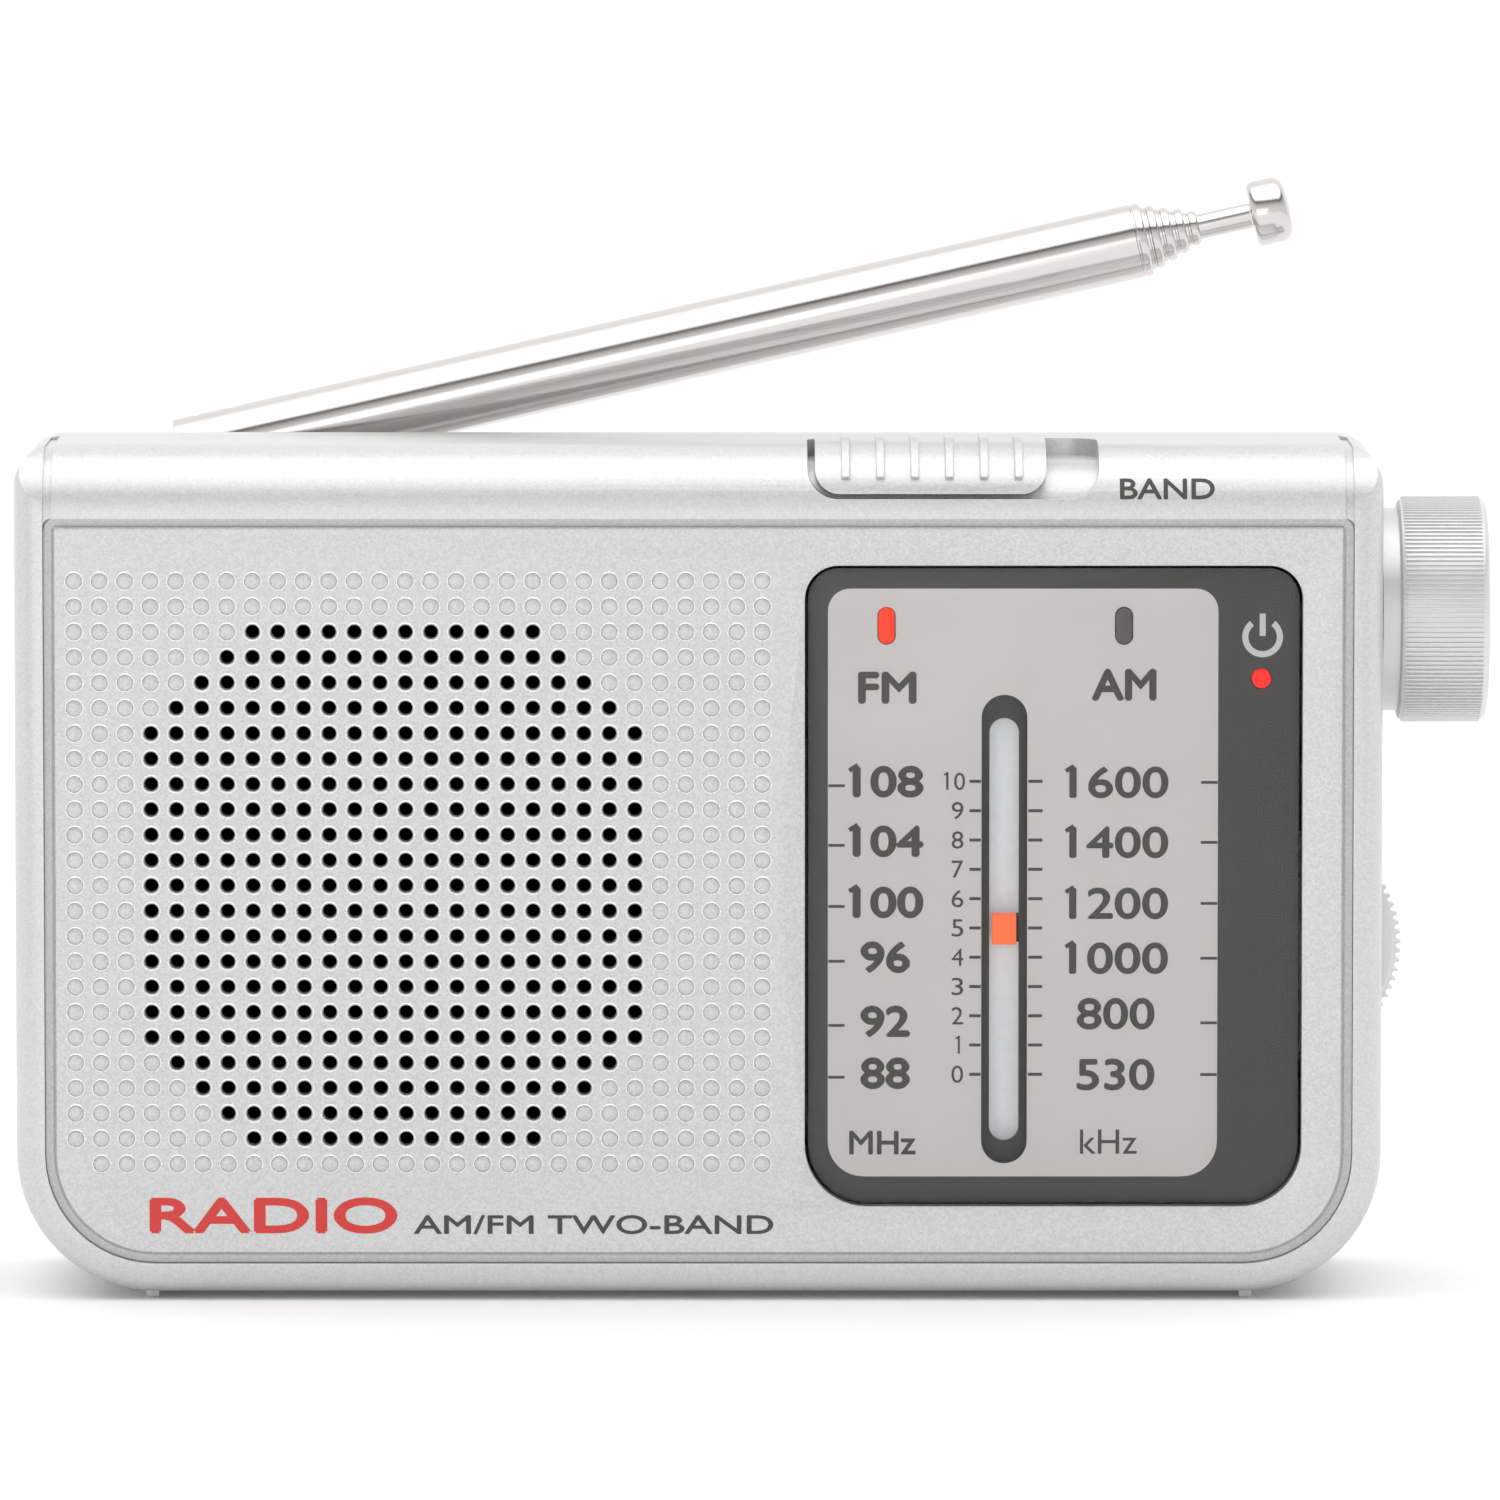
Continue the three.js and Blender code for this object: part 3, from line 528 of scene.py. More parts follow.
def dial_block(inset, span, steps=10):
    lower = DIAL_LOWER - inset
    upper = DIAL_UPPER - inset
    width = (dial_x[0] + inset, dial_x[1] - inset)
    height = (dial_z[0] + inset, dial_z[1] - inset)
    return slab("Y", width, height, span, (lower, lower, upper, upper), steps)


switch_x = (MIDDLE + 10.67, MIDDLE + 39.3)
switch_z = TOP - SHOULDER + 1.95
switch_back = cap_high.y + GAP


def switch_window(inset, outer, inner, x0, x1, radius):
    """A layer of the shoulder bounded by a window with rounded corners."""
    layer = shoulder_skin(outer, inner, x0 - 1, x1 + 1)
    front_view = slab("Y", (x0, x1), (switch_z + inset, TOP + 3), (FRONT - 3, SEAM + 3),
                      (radius, radius, 0, 0), 8)
    top_view = slab("Z", (x0, x1), (FRONT - 3, switch_back - inset), (BOTTOM, TOP + 3),
                    (0, 0, radius, radius), 8)
    return limit(layer, front_view, top_view)


def foot_rib(x, y0, y1):
    return round_edges(slab("Y", (x - 0.625, x + 0.625), (BOTTOM - FOOT, BOTTOM + 1), (y0, y1)),
                       rim_at(2, BOTTOM - FOOT), 0.2, 2)


foot_xs = (MIDDLE - 53.9, MIDDLE + 53.9)
shaft_y = (knob_low.y + knob_high.y) / 2
shaft_z = (knob_low.z + knob_high.z) / 2
wheel_x = (wheel_low.x + wheel_high.x) / 2
wheel_z = (wheel_low.z + wheel_high.z) / 2
wheel_radius = (wheel_high.z - wheel_low.z) / 2
SOUND_RADIUS = 26
SHAFT_HOLE = 4.5


def shaft_hole():
    return rod(SHAFT_HOLE, -6, 3, X_AXIS, (MIDDLE + SIDE, shaft_y, shaft_z))


def front_case():
    shell = round_edges(outline_block(0, (FRONT, SEAM)), rim_at(1, FRONT), RIM, 8)
    shell = limit(shell, shoulder_block(0))
    hollow = limit(outline_block(WALL, (wall_front + 1, SEAM + 3)), shoulder_block(WALL))
    recess = slab("Y", (MIDDLE - recess_side, MIDDLE + recess_side), (recess_low, recess_top),
                  (FRONT - 3, wall_front), (recess_corner, recess_corner, 0.8, 0.8), 12)
    sound = rod(SOUND_RADIUS, -10, 10, Y_AXIS, (speaker_x, FRONT, speaker_z))
    wheel_slot = slab("X", (wheel_low.y - 0.4, wheel_high.y + 0.4), (wheel_z - 9.6, wheel_z + 9.6),
                      (MIDDLE + SIDE - WALL - 2, MIDDLE + SIDE + 2), (0.6, 0.6, 0.6, 0.6), 4)
    window = switch_window(0, -2, 1.7, *switch_x, 3)
    grooves = []
    for side in (-1, 1):
        edge = MIDDLE + side * (recess_side - CHANNEL / 2)
        groove = shoulder_skin(-2, 0.4, edge - CHANNEL / 2, edge + CHANNEL / 2)
        above = slab("Y", (edge - 2, edge + 2), (recess_top - 1.5, TOP + 3), (FRONT - 3, SEAM + 3))
        grooves.append(limit(groove, above))
    dial_hole = dial_block(0, (FRONT - 2, FRONT + 5))
    shell = cut(shell, hollow, recess, sound, dial_hole, wheel_slot, shaft_hole(), window, *grooves)
    ribs = [foot_rib(x, FRONT + 3, SEAM) for x in foot_xs]
    return finished("front_case_shell", gather(shell, *ribs), shell_paint, "case",
                    ["front_case"], chamfer=0.16)


# ---------- front panel ----------
PITCH = 2.5
COLUMNS = 28
ROWS = 24
FIRST_COLUMN = -12.5  # places on the grid, counted from the loudspeaker's middle
FIRST_ROW = 12
HOLE_RADIUS = 0.7
RIM_RADIUS = 0.95  # of the raised edge round each hole and dot, whose faces carry a lighter paint as a painted highlight
RIM_WIDTH = 0.11
PANEL_FACE = panel_low.y + 0.1  # the dots and the print stand forward of this plane
TILE_SIDES = 16


def open_columns(row):
    """How many columns from the loudspeaker's middle are open in one row of the grid."""
    from_end = min(row - 2, 22 - row)
    if from_end < 0:
        return 0
    return min(6 + from_end, 10)


def square_ring(bm, y):
    """A ring of points spread round the edge of one grid square."""
    made = bmesh.ops.create_circle(bm, cap_ends=False, segments=TILE_SIDES, radius=1.0)["verts"]
    for point in made:
        spread = PITCH / 2 / max(abs(point.co.x), abs(point.co.y))
        point.co = (point.co.x * spread, y, point.co.y * spread)
    return list({edge for point in made for edge in point.link_edges})


def next_ring(bm, edges, radius, y):
    """Extrudes a ring to a circle of that radius at that depth."""
    grown = bmesh.ops.extrude_edge_only(bm, edges=edges)["geom"]
    for point in [g for g in grown if isinstance(g, bmesh.types.BMVert)]:
        flat = Vector((point.co.x, 0, point.co.z)).normalized() * radius
        point.co = (flat.x, y, flat.z)
    return [g for g in grown if isinstance(g, bmesh.types.BMEdge)]


def tile(rings, depth, pierced):
    """One square of the panel: rings of (radius, depth) from its border inwards, and its back."""
    bm = bmesh.new()
    edges = square_ring(bm, 0.0)
    for radius, y in rings:
        edges = next_ring(bm, edges, radius, y)
    back = square_ring(bm, depth)
    if pierced:
        bmesh.ops.bridge_loops(bm, edges=edges + back)
    else:
        bmesh.ops.edgeloop_fill(bm, edges=edges)
        bmesh.ops.edgeloop_fill(bm, edges=back)
    for face in bm.faces:
        reach = [math.hypot(v.co.x, v.co.z) for v in face.verts]
        # The rim's faces take the second material, the lighter paint that is a painted highlight.
        if min(reach) > RIM_RADIUS - RIM_WIDTH - 0.01 and max(reach) < RIM_RADIUS + 0.01:
            face.material_index = 1
    mesh = bpy.data.meshes.new("tile")
    bm.to_mesh(mesh)
    bm.free()
    return mesh


def loop(bm, a, b, y, lower, upper, steps=12):
    """The edge of a rectangle with rounded lower and upper corners, at depth y."""
    ends = ((a[0], b[0]), (a[1], b[0]), (a[1], b[1]), (a[0], b[1]))
    points = [bm.verts.new((x, y, z)) for x, z in ends]
    face = bm.faces.new(points)
    before = set(bm.edges) - set(face.edges)
    for point, radius in zip(points, (lower, lower, upper, upper)):
        bmesh.ops.bevel(bm, geom=[point], offset=radius, offset_type="OFFSET", affect="VERTICES",
                        segments=steps, profile=0.5, material=-1)
    edges = [edge for edge in bm.edges if edge not in before]
    faces = {f for edge in edges for f in edge.link_faces}
    bmesh.ops.delete(bm, geom=list(faces), context="FACES_ONLY")
    return edges


def bridged(bm, loops):
    """A wall through several loops."""
    for near, far in zip(loops, loops[1:]):
        bmesh.ops.bridge_loops(bm, edges=near + far)


def front_panel():
    """A sheet of tiles: holes over the loudspeaker, domed dots round them and a plain border."""
    depth = panel_high.y - PANEL_FACE
    rim = [(RIM_RADIUS, 0), (RIM_RADIUS - 0.06, -0.06), (RIM_RADIUS - RIM_WIDTH, -0.06)]
    bore = [(HOLE_RADIUS + 0.03, 0.04), (HOLE_RADIUS, 0.12), (HOLE_RADIUS - 0.06, depth)]
    dome = [(RIM_RADIUS - 0.17, 0.05), (RIM_RADIUS - 0.25, 0.0), (0.42, -0.07), (0.2, -0.09)]
    hole = tile(rim + bore, depth, True)
    dot = tile(rim + dome, depth, False)
    plain = tile([(0.6, 0)], depth, False)
    bm = bmesh.new()
    first = Vector((speaker_x + FIRST_COLUMN * PITCH, 0, speaker_z + FIRST_ROW * PITCH))
    for row in range(ROWS):
        for column in range(COLUMNS):
            kind = hole if abs(column + FIRST_COLUMN) < open_columns(row) else dot
            if row == ROWS - 1 and column == 0:
                kind = plain
            count = len(bm.verts)
            bm.from_mesh(kind)
            bm.verts.ensure_lookup_table()
            place = first + Vector((column * PITCH, 0, -row * PITCH))
            bmesh.ops.translate(bm, verts=bm.verts[count:], vec=place)
    for mesh in (hole, dot, plain):
        bpy.data.meshes.remove(mesh)
    bmesh.ops.remove_doubles(bm, verts=bm.verts, dist=1e-3)
    borders = [edge for edge in bm.edges if edge.is_boundary]
    near = [edge for edge in borders if edge.verts[0].co.y < depth / 2]
    far = [edge for edge in borders if edge.verts[0].co.y > depth / 2]

    def outer(inset, y):
        width = (MIDDLE - PANEL_EDGE + inset, MIDDLE + PANEL_EDGE - inset)
        height = (PANEL_LOW + inset, PANEL_HIGH - inset)
        lower = LOWER_CORNER - PANEL_INSET - inset
        return loop(bm, width, height, y, lower, max(0.5 - inset, 0.12))

    def inner(outset, y):
        width = (dial_x[0] - outset, dial_x[1] + outset)
        height = (dial_z[0] - outset, dial_z[1] + outset)
        return loop(bm, width, height, y, DIAL_LOWER + outset, DIAL_UPPER + outset)

    flange = 0.05 - CHANNEL
    outside = [outer(0.3, 0), outer(0.04, 0.26), outer(0, 0.4), outer(0, CHANNEL_DEPTH),
               outer(flange, CHANNEL_DEPTH + 0.002), outer(flange, depth)]
    inside = [inner(0.14, 0), inner(0.03, 0.05), inner(0, 0.18), inner(0, depth)]
    bridged(bm, outside)
    bridged(bm, inside)
    bmesh.ops.triangle_fill(bm, edges=near + outside[0] + inside[0], use_beauty=True)
    bmesh.ops.triangle_fill(bm, edges=far + outside[-1] + inside[-1], use_beauty=True)
    bmesh.ops.translate(bm, verts=bm.verts, vec=(0, PANEL_FACE, 0))
    panel = finished("perforated_panel", bm, panel_paint, "case", ["front_panel"],
                     crease=25)
    # The second material: the lighter paint on the rims, a painted highlight.
    panel.data.materials.append(rim_highlight_paint)


# ---------- dial ----------
PRINT = 0.03  # thickness of a printed layer
slot_x = (pointer_low.x + pointer_high.x) / 2
pointer_z = (pointer_low.z + pointer_high.z) / 2
field_x = (MIDDLE + 12.7, MIDDLE + 51.03)
field_z = (pointer_z - 24.4, pointer_z + 33.66)
slot_z = (BOTTOM + 12.8, BOTTOM + 59.1)
SLOT_WIDTH = 4.5
LENS_RISE = 0.16  # how far the lamps' lenses stand out of the dial


def stadium(x, z0, z1, width, span, steps=10):
    """An upright block with round ends."""
    radius = width / 2 - 0.001
    return slab("Y", (x - width / 2, x + width / 2), (z0, z1), span, (radius,) * 4, steps)


def lamp_hole(node, spread, span):
    """A block of the lamp's outline, grown by spread."""
    low, high = corners(node)
    middle = (low.x + high.x) / 2
    return stadium(middle, low.z - spread, high.z + spread, high.x - low.x + 2 * spread, span, 6)


def dial():
    front = plate_low.y
    lamps = ("fm_lamp", "am_lamp", "power_led")
    through = (front - 1, front + 3)
    plate = dial_block(GAP, (front, plate_high.y))
    field = slab("Y", field_x, field_z, (front - PRINT, front + 0.001), (3.5, 3.5, 2.2, 2.2), 8)

    def opened(layer, shown):
        holes = [lamp_hole(node, 0.1, through) for node in shown]
        return cut(layer, stadium(slot_x, *slot_z, SLOT_WIDTH, through), *holes)

    finished("dial_backing", opened(plate, lamps), mask_print, "case",
             ["dial_plate"], chamfer=0.05)
    finished("dial_field", opened(field, lamps[:2]), field_print, "case")
    for node, slot in zip(lamps, ("lamp_orange", "lamp_grey", "led_red")):
        lens = lamp_hole(node, 0, (front - LENS_RISE, front + 2))
        round_edges(lens, rim_at(1, front - LENS_RISE), 0.14, 3)
        finished(node + "_lens", lens, finishes[slot], "case", [node])
    window = dial_block(GAP, (window_low.y, window_high.y))
    round_edges(window, rim_at(1, window_low.y), 0.22, 3)
    finished("clear_dial_window", window, finishes["clear_window"], "case",
             ["dial_window"], crease=50)
    block = slab("Y", (pointer_low.x, pointer_high.x), (pointer_low.z, pointer_high.z),
                 (pointer_low.y, pointer_high.y), (0.12,) * 4, 2)
    round_edges(block, rim_at(1, pointer_low.y), 0.15, 3)
    finished("pointer_block", block, finishes["pointer_orange"], "dial_pointer",
             ["pointer"])


# ---------- lettering ----------
LAYER_LIFT = 0.004  # keeps overlapping layers of print apart
BANDS = 9  # the strips that words on a curve are cut into


def words(text, centre, height, width, weight=0.0, lean=None):
    """Raised print: the text's middle, the height of its capitals and its whole width.

    weight thickens the strokes, as a share of the height: the words are printed again beside
    themselves. With a lean the words follow the shoulder's curve, that far round from its top.
    """
    curve = bpy.data.curves.new("words", "FONT")
    curve.body = text
    curve.size = 1.0
    curve.extrude = 0.5
    curve.resolution_u = 6
    holder = bpy.data.objects.new("words", curve)
    bpy.context.scene.collection.objects.link(holder)
    shown = holder.evaluated_get(bpy.context.evaluated_depsgraph_get())
    bm = bmesh.new()
    bm.from_mesh(shown.to_mesh())
    bpy.data.objects.remove(holder)
    bpy.data.curves.remove(curve)
    low = Vector([min(v.co[i] for v in bm.verts) for i in range(3)])
    high = Vector([max(v.co[i] for v in bm.verts) for i in range(3)])
    size = high - low
    bmesh.ops.translate(bm, verts=bm.verts, vec=-(low + high) / 2)
    spread = weight * height
    scale = ((width - 2 * spread) / size.x, (height - 2 * spread) / size.y, PRINT / size.z)
    bmesh.ops.scale(bm, vec=scale, verts=bm.verts)
    if weight:
        single = bpy.data.meshes.new("single")
        bm.to_mesh(single)
        bm.clear()
        for lift, (x, z) in enumerate(((-spread, 0), (spread, 0), (0, -spread), (0, spread))):
            count = len(bm.verts)
            bm.from_mesh(single)
            bm.verts.ensure_lookup_table()
            bmesh.ops.translate(bm, verts=bm.verts[count:], vec=(x, z, lift * LAYER_LIFT))
        bpy.data.meshes.remove(single)
    if lean is None:
        stand = Matrix.Rotation(math.pi / 2, 4, "X")
        bmesh.ops.transform(bm, matrix=Matrix.Translation(centre) @ stand, verts=bm.verts)
        return bm
    for level in range(-(BANDS // 2), BANDS // 2 + 1):
        bmesh.ops.bisect_plane(bm, geom=bm.verts[:] + bm.edges[:] + bm.faces[:],
                               plane_co=(0, level * height / BANDS, 0), plane_no=Y_AXIS)
    for point in bm.verts:
        x, rise, lift = point.co
        angle = lean - rise / SHOULDER
        out = SHOULDER + lift
        y = FRONT + SHOULDER - out * math.sin(angle)
        point.co = (centre[0] + x, y, TOP - SHOULDER + out * math.cos(angle))
    return bm


def tick(x0, x1, z, y, thick=0.28):
    return slab("Y", (x0, x1), (z - thick / 2, z + thick / 2), (y - PRINT, y + 0.001))


# Frequencies and how far their marks are above the pointer's rest place.
FM_MARKS = (("108", 14.24), ("104", 8.35), ("100", 2.32), ("96", -3.1), ("92", -9.45), ("88", -14.58))
AM_MARKS = (("1600", 14.57), ("1400", 8.65), ("1200", 2.62), ("1000", -2.8), ("800", -9.19),
            ("530", -14.31))
SCALE_TOP = 14.67
SCALE_STEP = 2.895
FIGURE_HEIGHT = 3.15
FIGURE_PITCH = 2.62


def dial_lettering():
    """Both frequency scales, the plain scale of 0 to 10 between them, and the names of the bands."""
    ink_y = plate_low.y - PRINT
    middle_y = ink_y - PRINT / 2
    parts = []

    def write(text, x, rise, height, width, weight):
        flag = height * 0.17 if text.startswith("1") else 0.0
        middle = MIDDLE + x
        centre = (middle + flag / 2, middle_y, pointer_z + rise)
        parts.append(words(text, centre, height, width - flag, weight))
        if flag:
            stroke = height * (0.1 + weight)
            stub = slab("Y", (-flag, stroke), (-stroke, 0), (-PRINT, 0))
            place = Matrix.Translation((middle - width / 2 + flag, ink_y, pointer_z + rise + height / 2))
            turn = Matrix.Rotation(-math.radians(32), 4, "Y")
            bmesh.ops.transform(stub, matrix=place @ turn, verts=stub.verts)
            parts.append(stub)

    def mark(x0, x1, rise, thick=0.28):
        parts.append(tick(MIDDLE + x0, MIDDLE + x1, pointer_z + rise, ink_y, thick))

    for text, rise in FM_MARKS:
        write(text, 18.35, rise + 0.4, FIGURE_HEIGHT, FIGURE_PITCH * len(text) - 0.35, 0.045)
        mark(12.75, 14.36, rise)
    for text, rise in AM_MARKS:
        lift = 0.9 if text == "800" else 0.0
        write(text, 41.03, rise + lift, FIGURE_HEIGHT, FIGURE_PITCH * len(text) - 0.2, 0.03)
        mark(49.36, 51.0, rise)
    for number in range(11):
        rise = SCALE_TOP - SCALE_STEP * (10 - number)
        width = 2.15 if number == 10 else 0.5 if number == 1 else 1.15
        write(str(number), 25.45 if number < 10 else 25.1, rise, 1.72, width, 0.0)
        mark(26.62, 27.75, rise, 0.3)
        mark(32.4, 33.8, rise, 0.3)
    write("FM", 18.53, 23.9, FIGURE_HEIGHT, 5.75, 0.045)
    write("AM", 41.77, 24.2, FIGURE_HEIGHT, 6.4, 0.045)
    write("MHz", 18.09, -21.05, 2.35, 6.55, 0.025)
    write("kHz", 40.34, -20.95, 2.4, 5.6, 0.0)
    finished("dial_lettering", gather(*parts), dark_ink, "case")


def power_sign():
    """The usual standby sign: an open ring with an upright bar."""
    radius = 1.7
    stroke = 0.6
    centre = Vector((MIDDLE + 55.37, plate_low.y, BOTTOM + 64.8))
    ring = bmesh.new()
    inner = radius - stroke / 2
    outer = radius + stroke / 2
    section = [(inner, -PRINT), (outer, -PRINT), (outer, 0), (inner, 0)]
    points = [ring.verts.new((0, y, r)) for r, y in section]
    face = ring.faces.new(points)
    opening = math.radians(38)
    bmesh.ops.rotate(ring, verts=points, cent=(0, 0, 0), matrix=Matrix.Rotation(opening, 3, "Y"))
    bmesh.ops.spin(ring, geom=[face], cent=(0, 0, 0), axis=Y_AXIS, angle=2 * (math.pi - opening),
                   steps=40)
    bmesh.ops.translate(ring, verts=ring.verts, vec=centre)
    bar = slab("Y", (centre.x - stroke / 2, centre.x + stroke / 2), (centre.z + 0.1, centre.z + 2.3),
               (centre.y - PRINT, centre.y))
    finished("power_sign", gather(ring, bar), pale_ink, "case")


def panel_lettering():
    """Plain words under the grille, and the name of the slider on the shoulder."""
    y = PANEL_FACE - PRINT / 2
    kind = words("AM/FM TWO-BAND", (MIDDLE - 10.35, y, BOTTOM + 6.9), 1.9, 35.4, 0.025)
    finished("panel_words", kind, dark_ink, "case")
    sign = words("RADIO", (MIDDLE - 41.85, y, BOTTOM + 7.8), 3.6, 24.4, 0.05)
    finished("radio_word", sign, red_ink, "case")
    band = words("BAND", (MIDDLE + 45.95, 0, 0), 2.2, 9.3, 0.025, math.radians(65))
    finished("band_word", band, dark_ink, "case")


# ---------- controls ----------
SLIDER_RIBS = 6
SLIDER_PITCH = 3.4


def band_slider():
    """A thin cap that follows the shoulder, with short ribs and a stem down into the case."""
    x0 = cap_low.x
    base = switch_window(0.5, -0.2, 1.4, x0, cap_high.x, 2.4)
    ribs = []
    for number in range(SLIDER_RIBS):
        x = x0 + 3.0 + number * SLIDER_PITCH
        rib = shoulder_skin(-0.62, 0.1, x - 0.42, x + 0.42)
        length = slab("Y", (x - 1, x + 1), (switch_z + 2.1, TOP + 3), (FRONT - 3, cap_high.y - 2.2))
        ribs.append(round_edges(limit(rib, length), sharp, 0.26, 3))
    stem = slab("Z", (x0 + 9, x0 + 12), (-7.5, -5), (TOP - 3.4, TOP - 1.3))
    round_edges(base, sharp, 0.28, 3)
    finished("band_slider_cap", gather(base, stem, *ribs), shell_paint, "band",
             ["band_knob"], crease=40)


def ribbed(radius, ribs, width, height, taper):
    """A cylinder along Z with raised ribs on every second side, narrowed by taper at their tops."""
    bm = bmesh.new()
    bmesh.ops.create_circle(bm, cap_ends=True, segments=ribs * 2, radius=radius)
    thicken(bm, (0, 0, width))
    sides = [face for face in bm.faces if abs(face.normal.z) < 0.5]

    def bearing(face):
        middle = face.calc_center_median()
        return math.atan2(middle.y, middle.x)

    sides.sort(key=bearing)
    bmesh.ops.inset_individual(bm, faces=sides[::2], thickness=taper, depth=height,
                               use_even_offset=True)
    return bm


KNOB_RIBS = 140
KNOB_BORE = 3.3
HUB_RADIUS = 10.1
WHEEL_TEETH = 78


def tuning_knob():
    """A narrow hub against the case, then a ribbed grip with a rounded outer face."""
    radius = (knob_high.z - knob_low.z) / 2
    inner = knob_low.x + 1.85
    outer = knob_high.x
    start = MIDDLE + SIDE + GAP
    grip = ribbed(radius - 0.2, KNOB_RIBS, outer - 0.85 - inner - 0.3, 0.2, 0.05)
    place = Matrix.Translation((inner + 0.3, shaft_y, shaft_z)) @ turn_to(X_AXIS)
    bmesh.ops.transform(grip, matrix=place, verts=grip.verts)
    hub = [(KNOB_BORE, start), (HUB_RADIUS, start), (HUB_RADIUS, inner - 0.15)]
    skirt = [(radius - cut_in, inner + out) for cut_in, out in ((0.6, -0.08), (0.3, 0.05), (0.18, 0.3))]
    face = [(radius - cut_in, outer - back)
            for cut_in, back in ((0.18, 0.85), (0.26, 0.6), (0.5, 0.36), (0.9, 0.22))]
    crown = [(radius * 0.6, outer - 0.08), (radius * 0.3, outer - 0.02), (0, outer)]
    bore = [(0, outer - 4.8), (KNOB_BORE, outer - 4.8), (KNOB_BORE, start)]
    core = turned(hub + skirt + face + crown + bore, X_AXIS, (0, shaft_y, shaft_z), 120)
    finished("ribbed_tuning_knob", gather(core, grip), control_paint, "tuning",
             ["tuning_knob"], crease=28)


def volume_wheel():
    """A disc with a shallow ring in its front face, and teeth round its edge."""
    thick = wheel_high.y - wheel_low.y
    teeth = ribbed(wheel_radius - 0.45, WHEEL_TEETH, thick - 0.5, 0.45, 0.14)
    stand = Matrix.Rotation(math.pi / 2, 4, "X")
    place = Matrix.Translation((wheel_x, wheel_high.y - 0.25, wheel_z)) @ stand
    bmesh.ops.transform(teeth, matrix=place, verts=teeth.verts)
    radius = wheel_radius - 0.5
    front = [(1.6, 0), (7, 0), (7.4, 0.3), (9.2, 0.3), (9.6, 0), (radius - 0.4, 0), (radius, 0.4)]
    back = [(radius, thick - 0.4), (radius - 0.4, thick), (1.6, thick), (1.6, 0)]
    disc = turned(front + back, Y_AXIS, (wheel_x, wheel_low.y, wheel_z), 96)
    finished("toothed_volume_wheel", gather(disc, teeth), control_paint, "volume",
             ["volume_wheel"], crease=28)


# ---------- rear case ----------
BAY_WALL = 1.0  # round the two cells
BAY_FRONT = 1.9  # depth of the bay's bottom
SCREW_BOSS = 2.6
JACK_NOSE = 3.0
screw_nodes = [f"case_screw_{number}" for number in range(1, 5)]
bay_x = (door_low.x - GAP, door_high.x + GAP)
bay_z = (door_low.z - GAP, door_high.z + GAP)
socket_low, socket_high = corners("antenna_socket")
jack_low, jack_high = corners("earphone_jack")
socket_middle = (socket_low + socket_high) / 2
jack_middle = (jack_low + jack_high) / 2
jack_mouth = (MIDDLE - SIDE, jack_middle.y, jack_middle.z)


def rear_case():
    """The rear half: a step for the antenna, the battery bay, screw wells and foot ribs."""
    start = rear_low.y
    outer = round_edges(outline_block(0, (start, REAR)), rim_at(1, REAR), 3.0, 7)
    across = (MIDDLE - SIDE - 1, MIDDLE + SIDE + 1)
    low_part = slab("X", (start - 1, REAR + 0.5), (BOTTOM - 1, STEP_Z), across, (0, 0, 1.4, 0), 6)
    high_part = slab("X", (start - 1, STEP_Y), (BOTTOM + 20, TOP + 0.5), across, (0, 0, 1.2, 0), 5)
    shell = limit(outer, combine(low_part, high_part, "UNION"))
    hollow = outline_block(WALL, (start - 1, REAR - WALL))
    hollow = cut(hollow, slab("X", (STEP_Y - 1.2, REAR), (STEP_Z - 1.2, TOP), across))
    hollow = cut(hollow, slab("Y", (bay_x[0] - BAY_WALL, bay_x[1] + BAY_WALL),
                              (bay_z[0] - BAY_WALL, bay_z[1] + BAY_WALL), (BAY_FRONT - BAY_WALL, REAR)))
    wells = []
    well = [(0, start - 3), (1.3, start - 3), (1.3, REAR - 1.8), (2.3, REAR - 1.8), (2.3, REAR - 0.35),
            (2.65, REAR + 0.01), (2.65, REAR + 1), (0, REAR + 1)]
    for node in screw_nodes:
        low, high = corners(node)
        middle = ((low.x + high.x) / 2, 0, (low.z + high.z) / 2)
        hollow = cut(hollow, rod(SCREW_BOSS, start - 2, REAR, Y_AXIS, middle, 24))
        wells.append(turned(well, Y_AXIS, middle, 32))
    bay = slab("Y", bay_x, bay_z, (BAY_FRONT, REAR + 1), (1.0,) * 4, 4)
    wide = JACK_NOSE + 0.75
    snug = JACK_NOSE + GAP
    nose = turned([(0, -1), (wide, -1), (wide, 0), (snug, 0.45), (snug, 4), (0, 4)], X_AXIS, jack_mouth, 32)
    swivel = rod(3.6, -4, 1, Z_AXIS, (socket_middle.x, socket_middle.y, STEP_Z), 32)
    shell = cut(shell, hollow, bay, shaft_hole(), nose, swivel, *wells)
    ribs = [foot_rib(x, start, REAR - 3) for x in foot_xs]
    finished("rear_case_shell", gather(shell, *ribs), shell_paint, "case",
             ["rear_case"], chamfer=0.14)


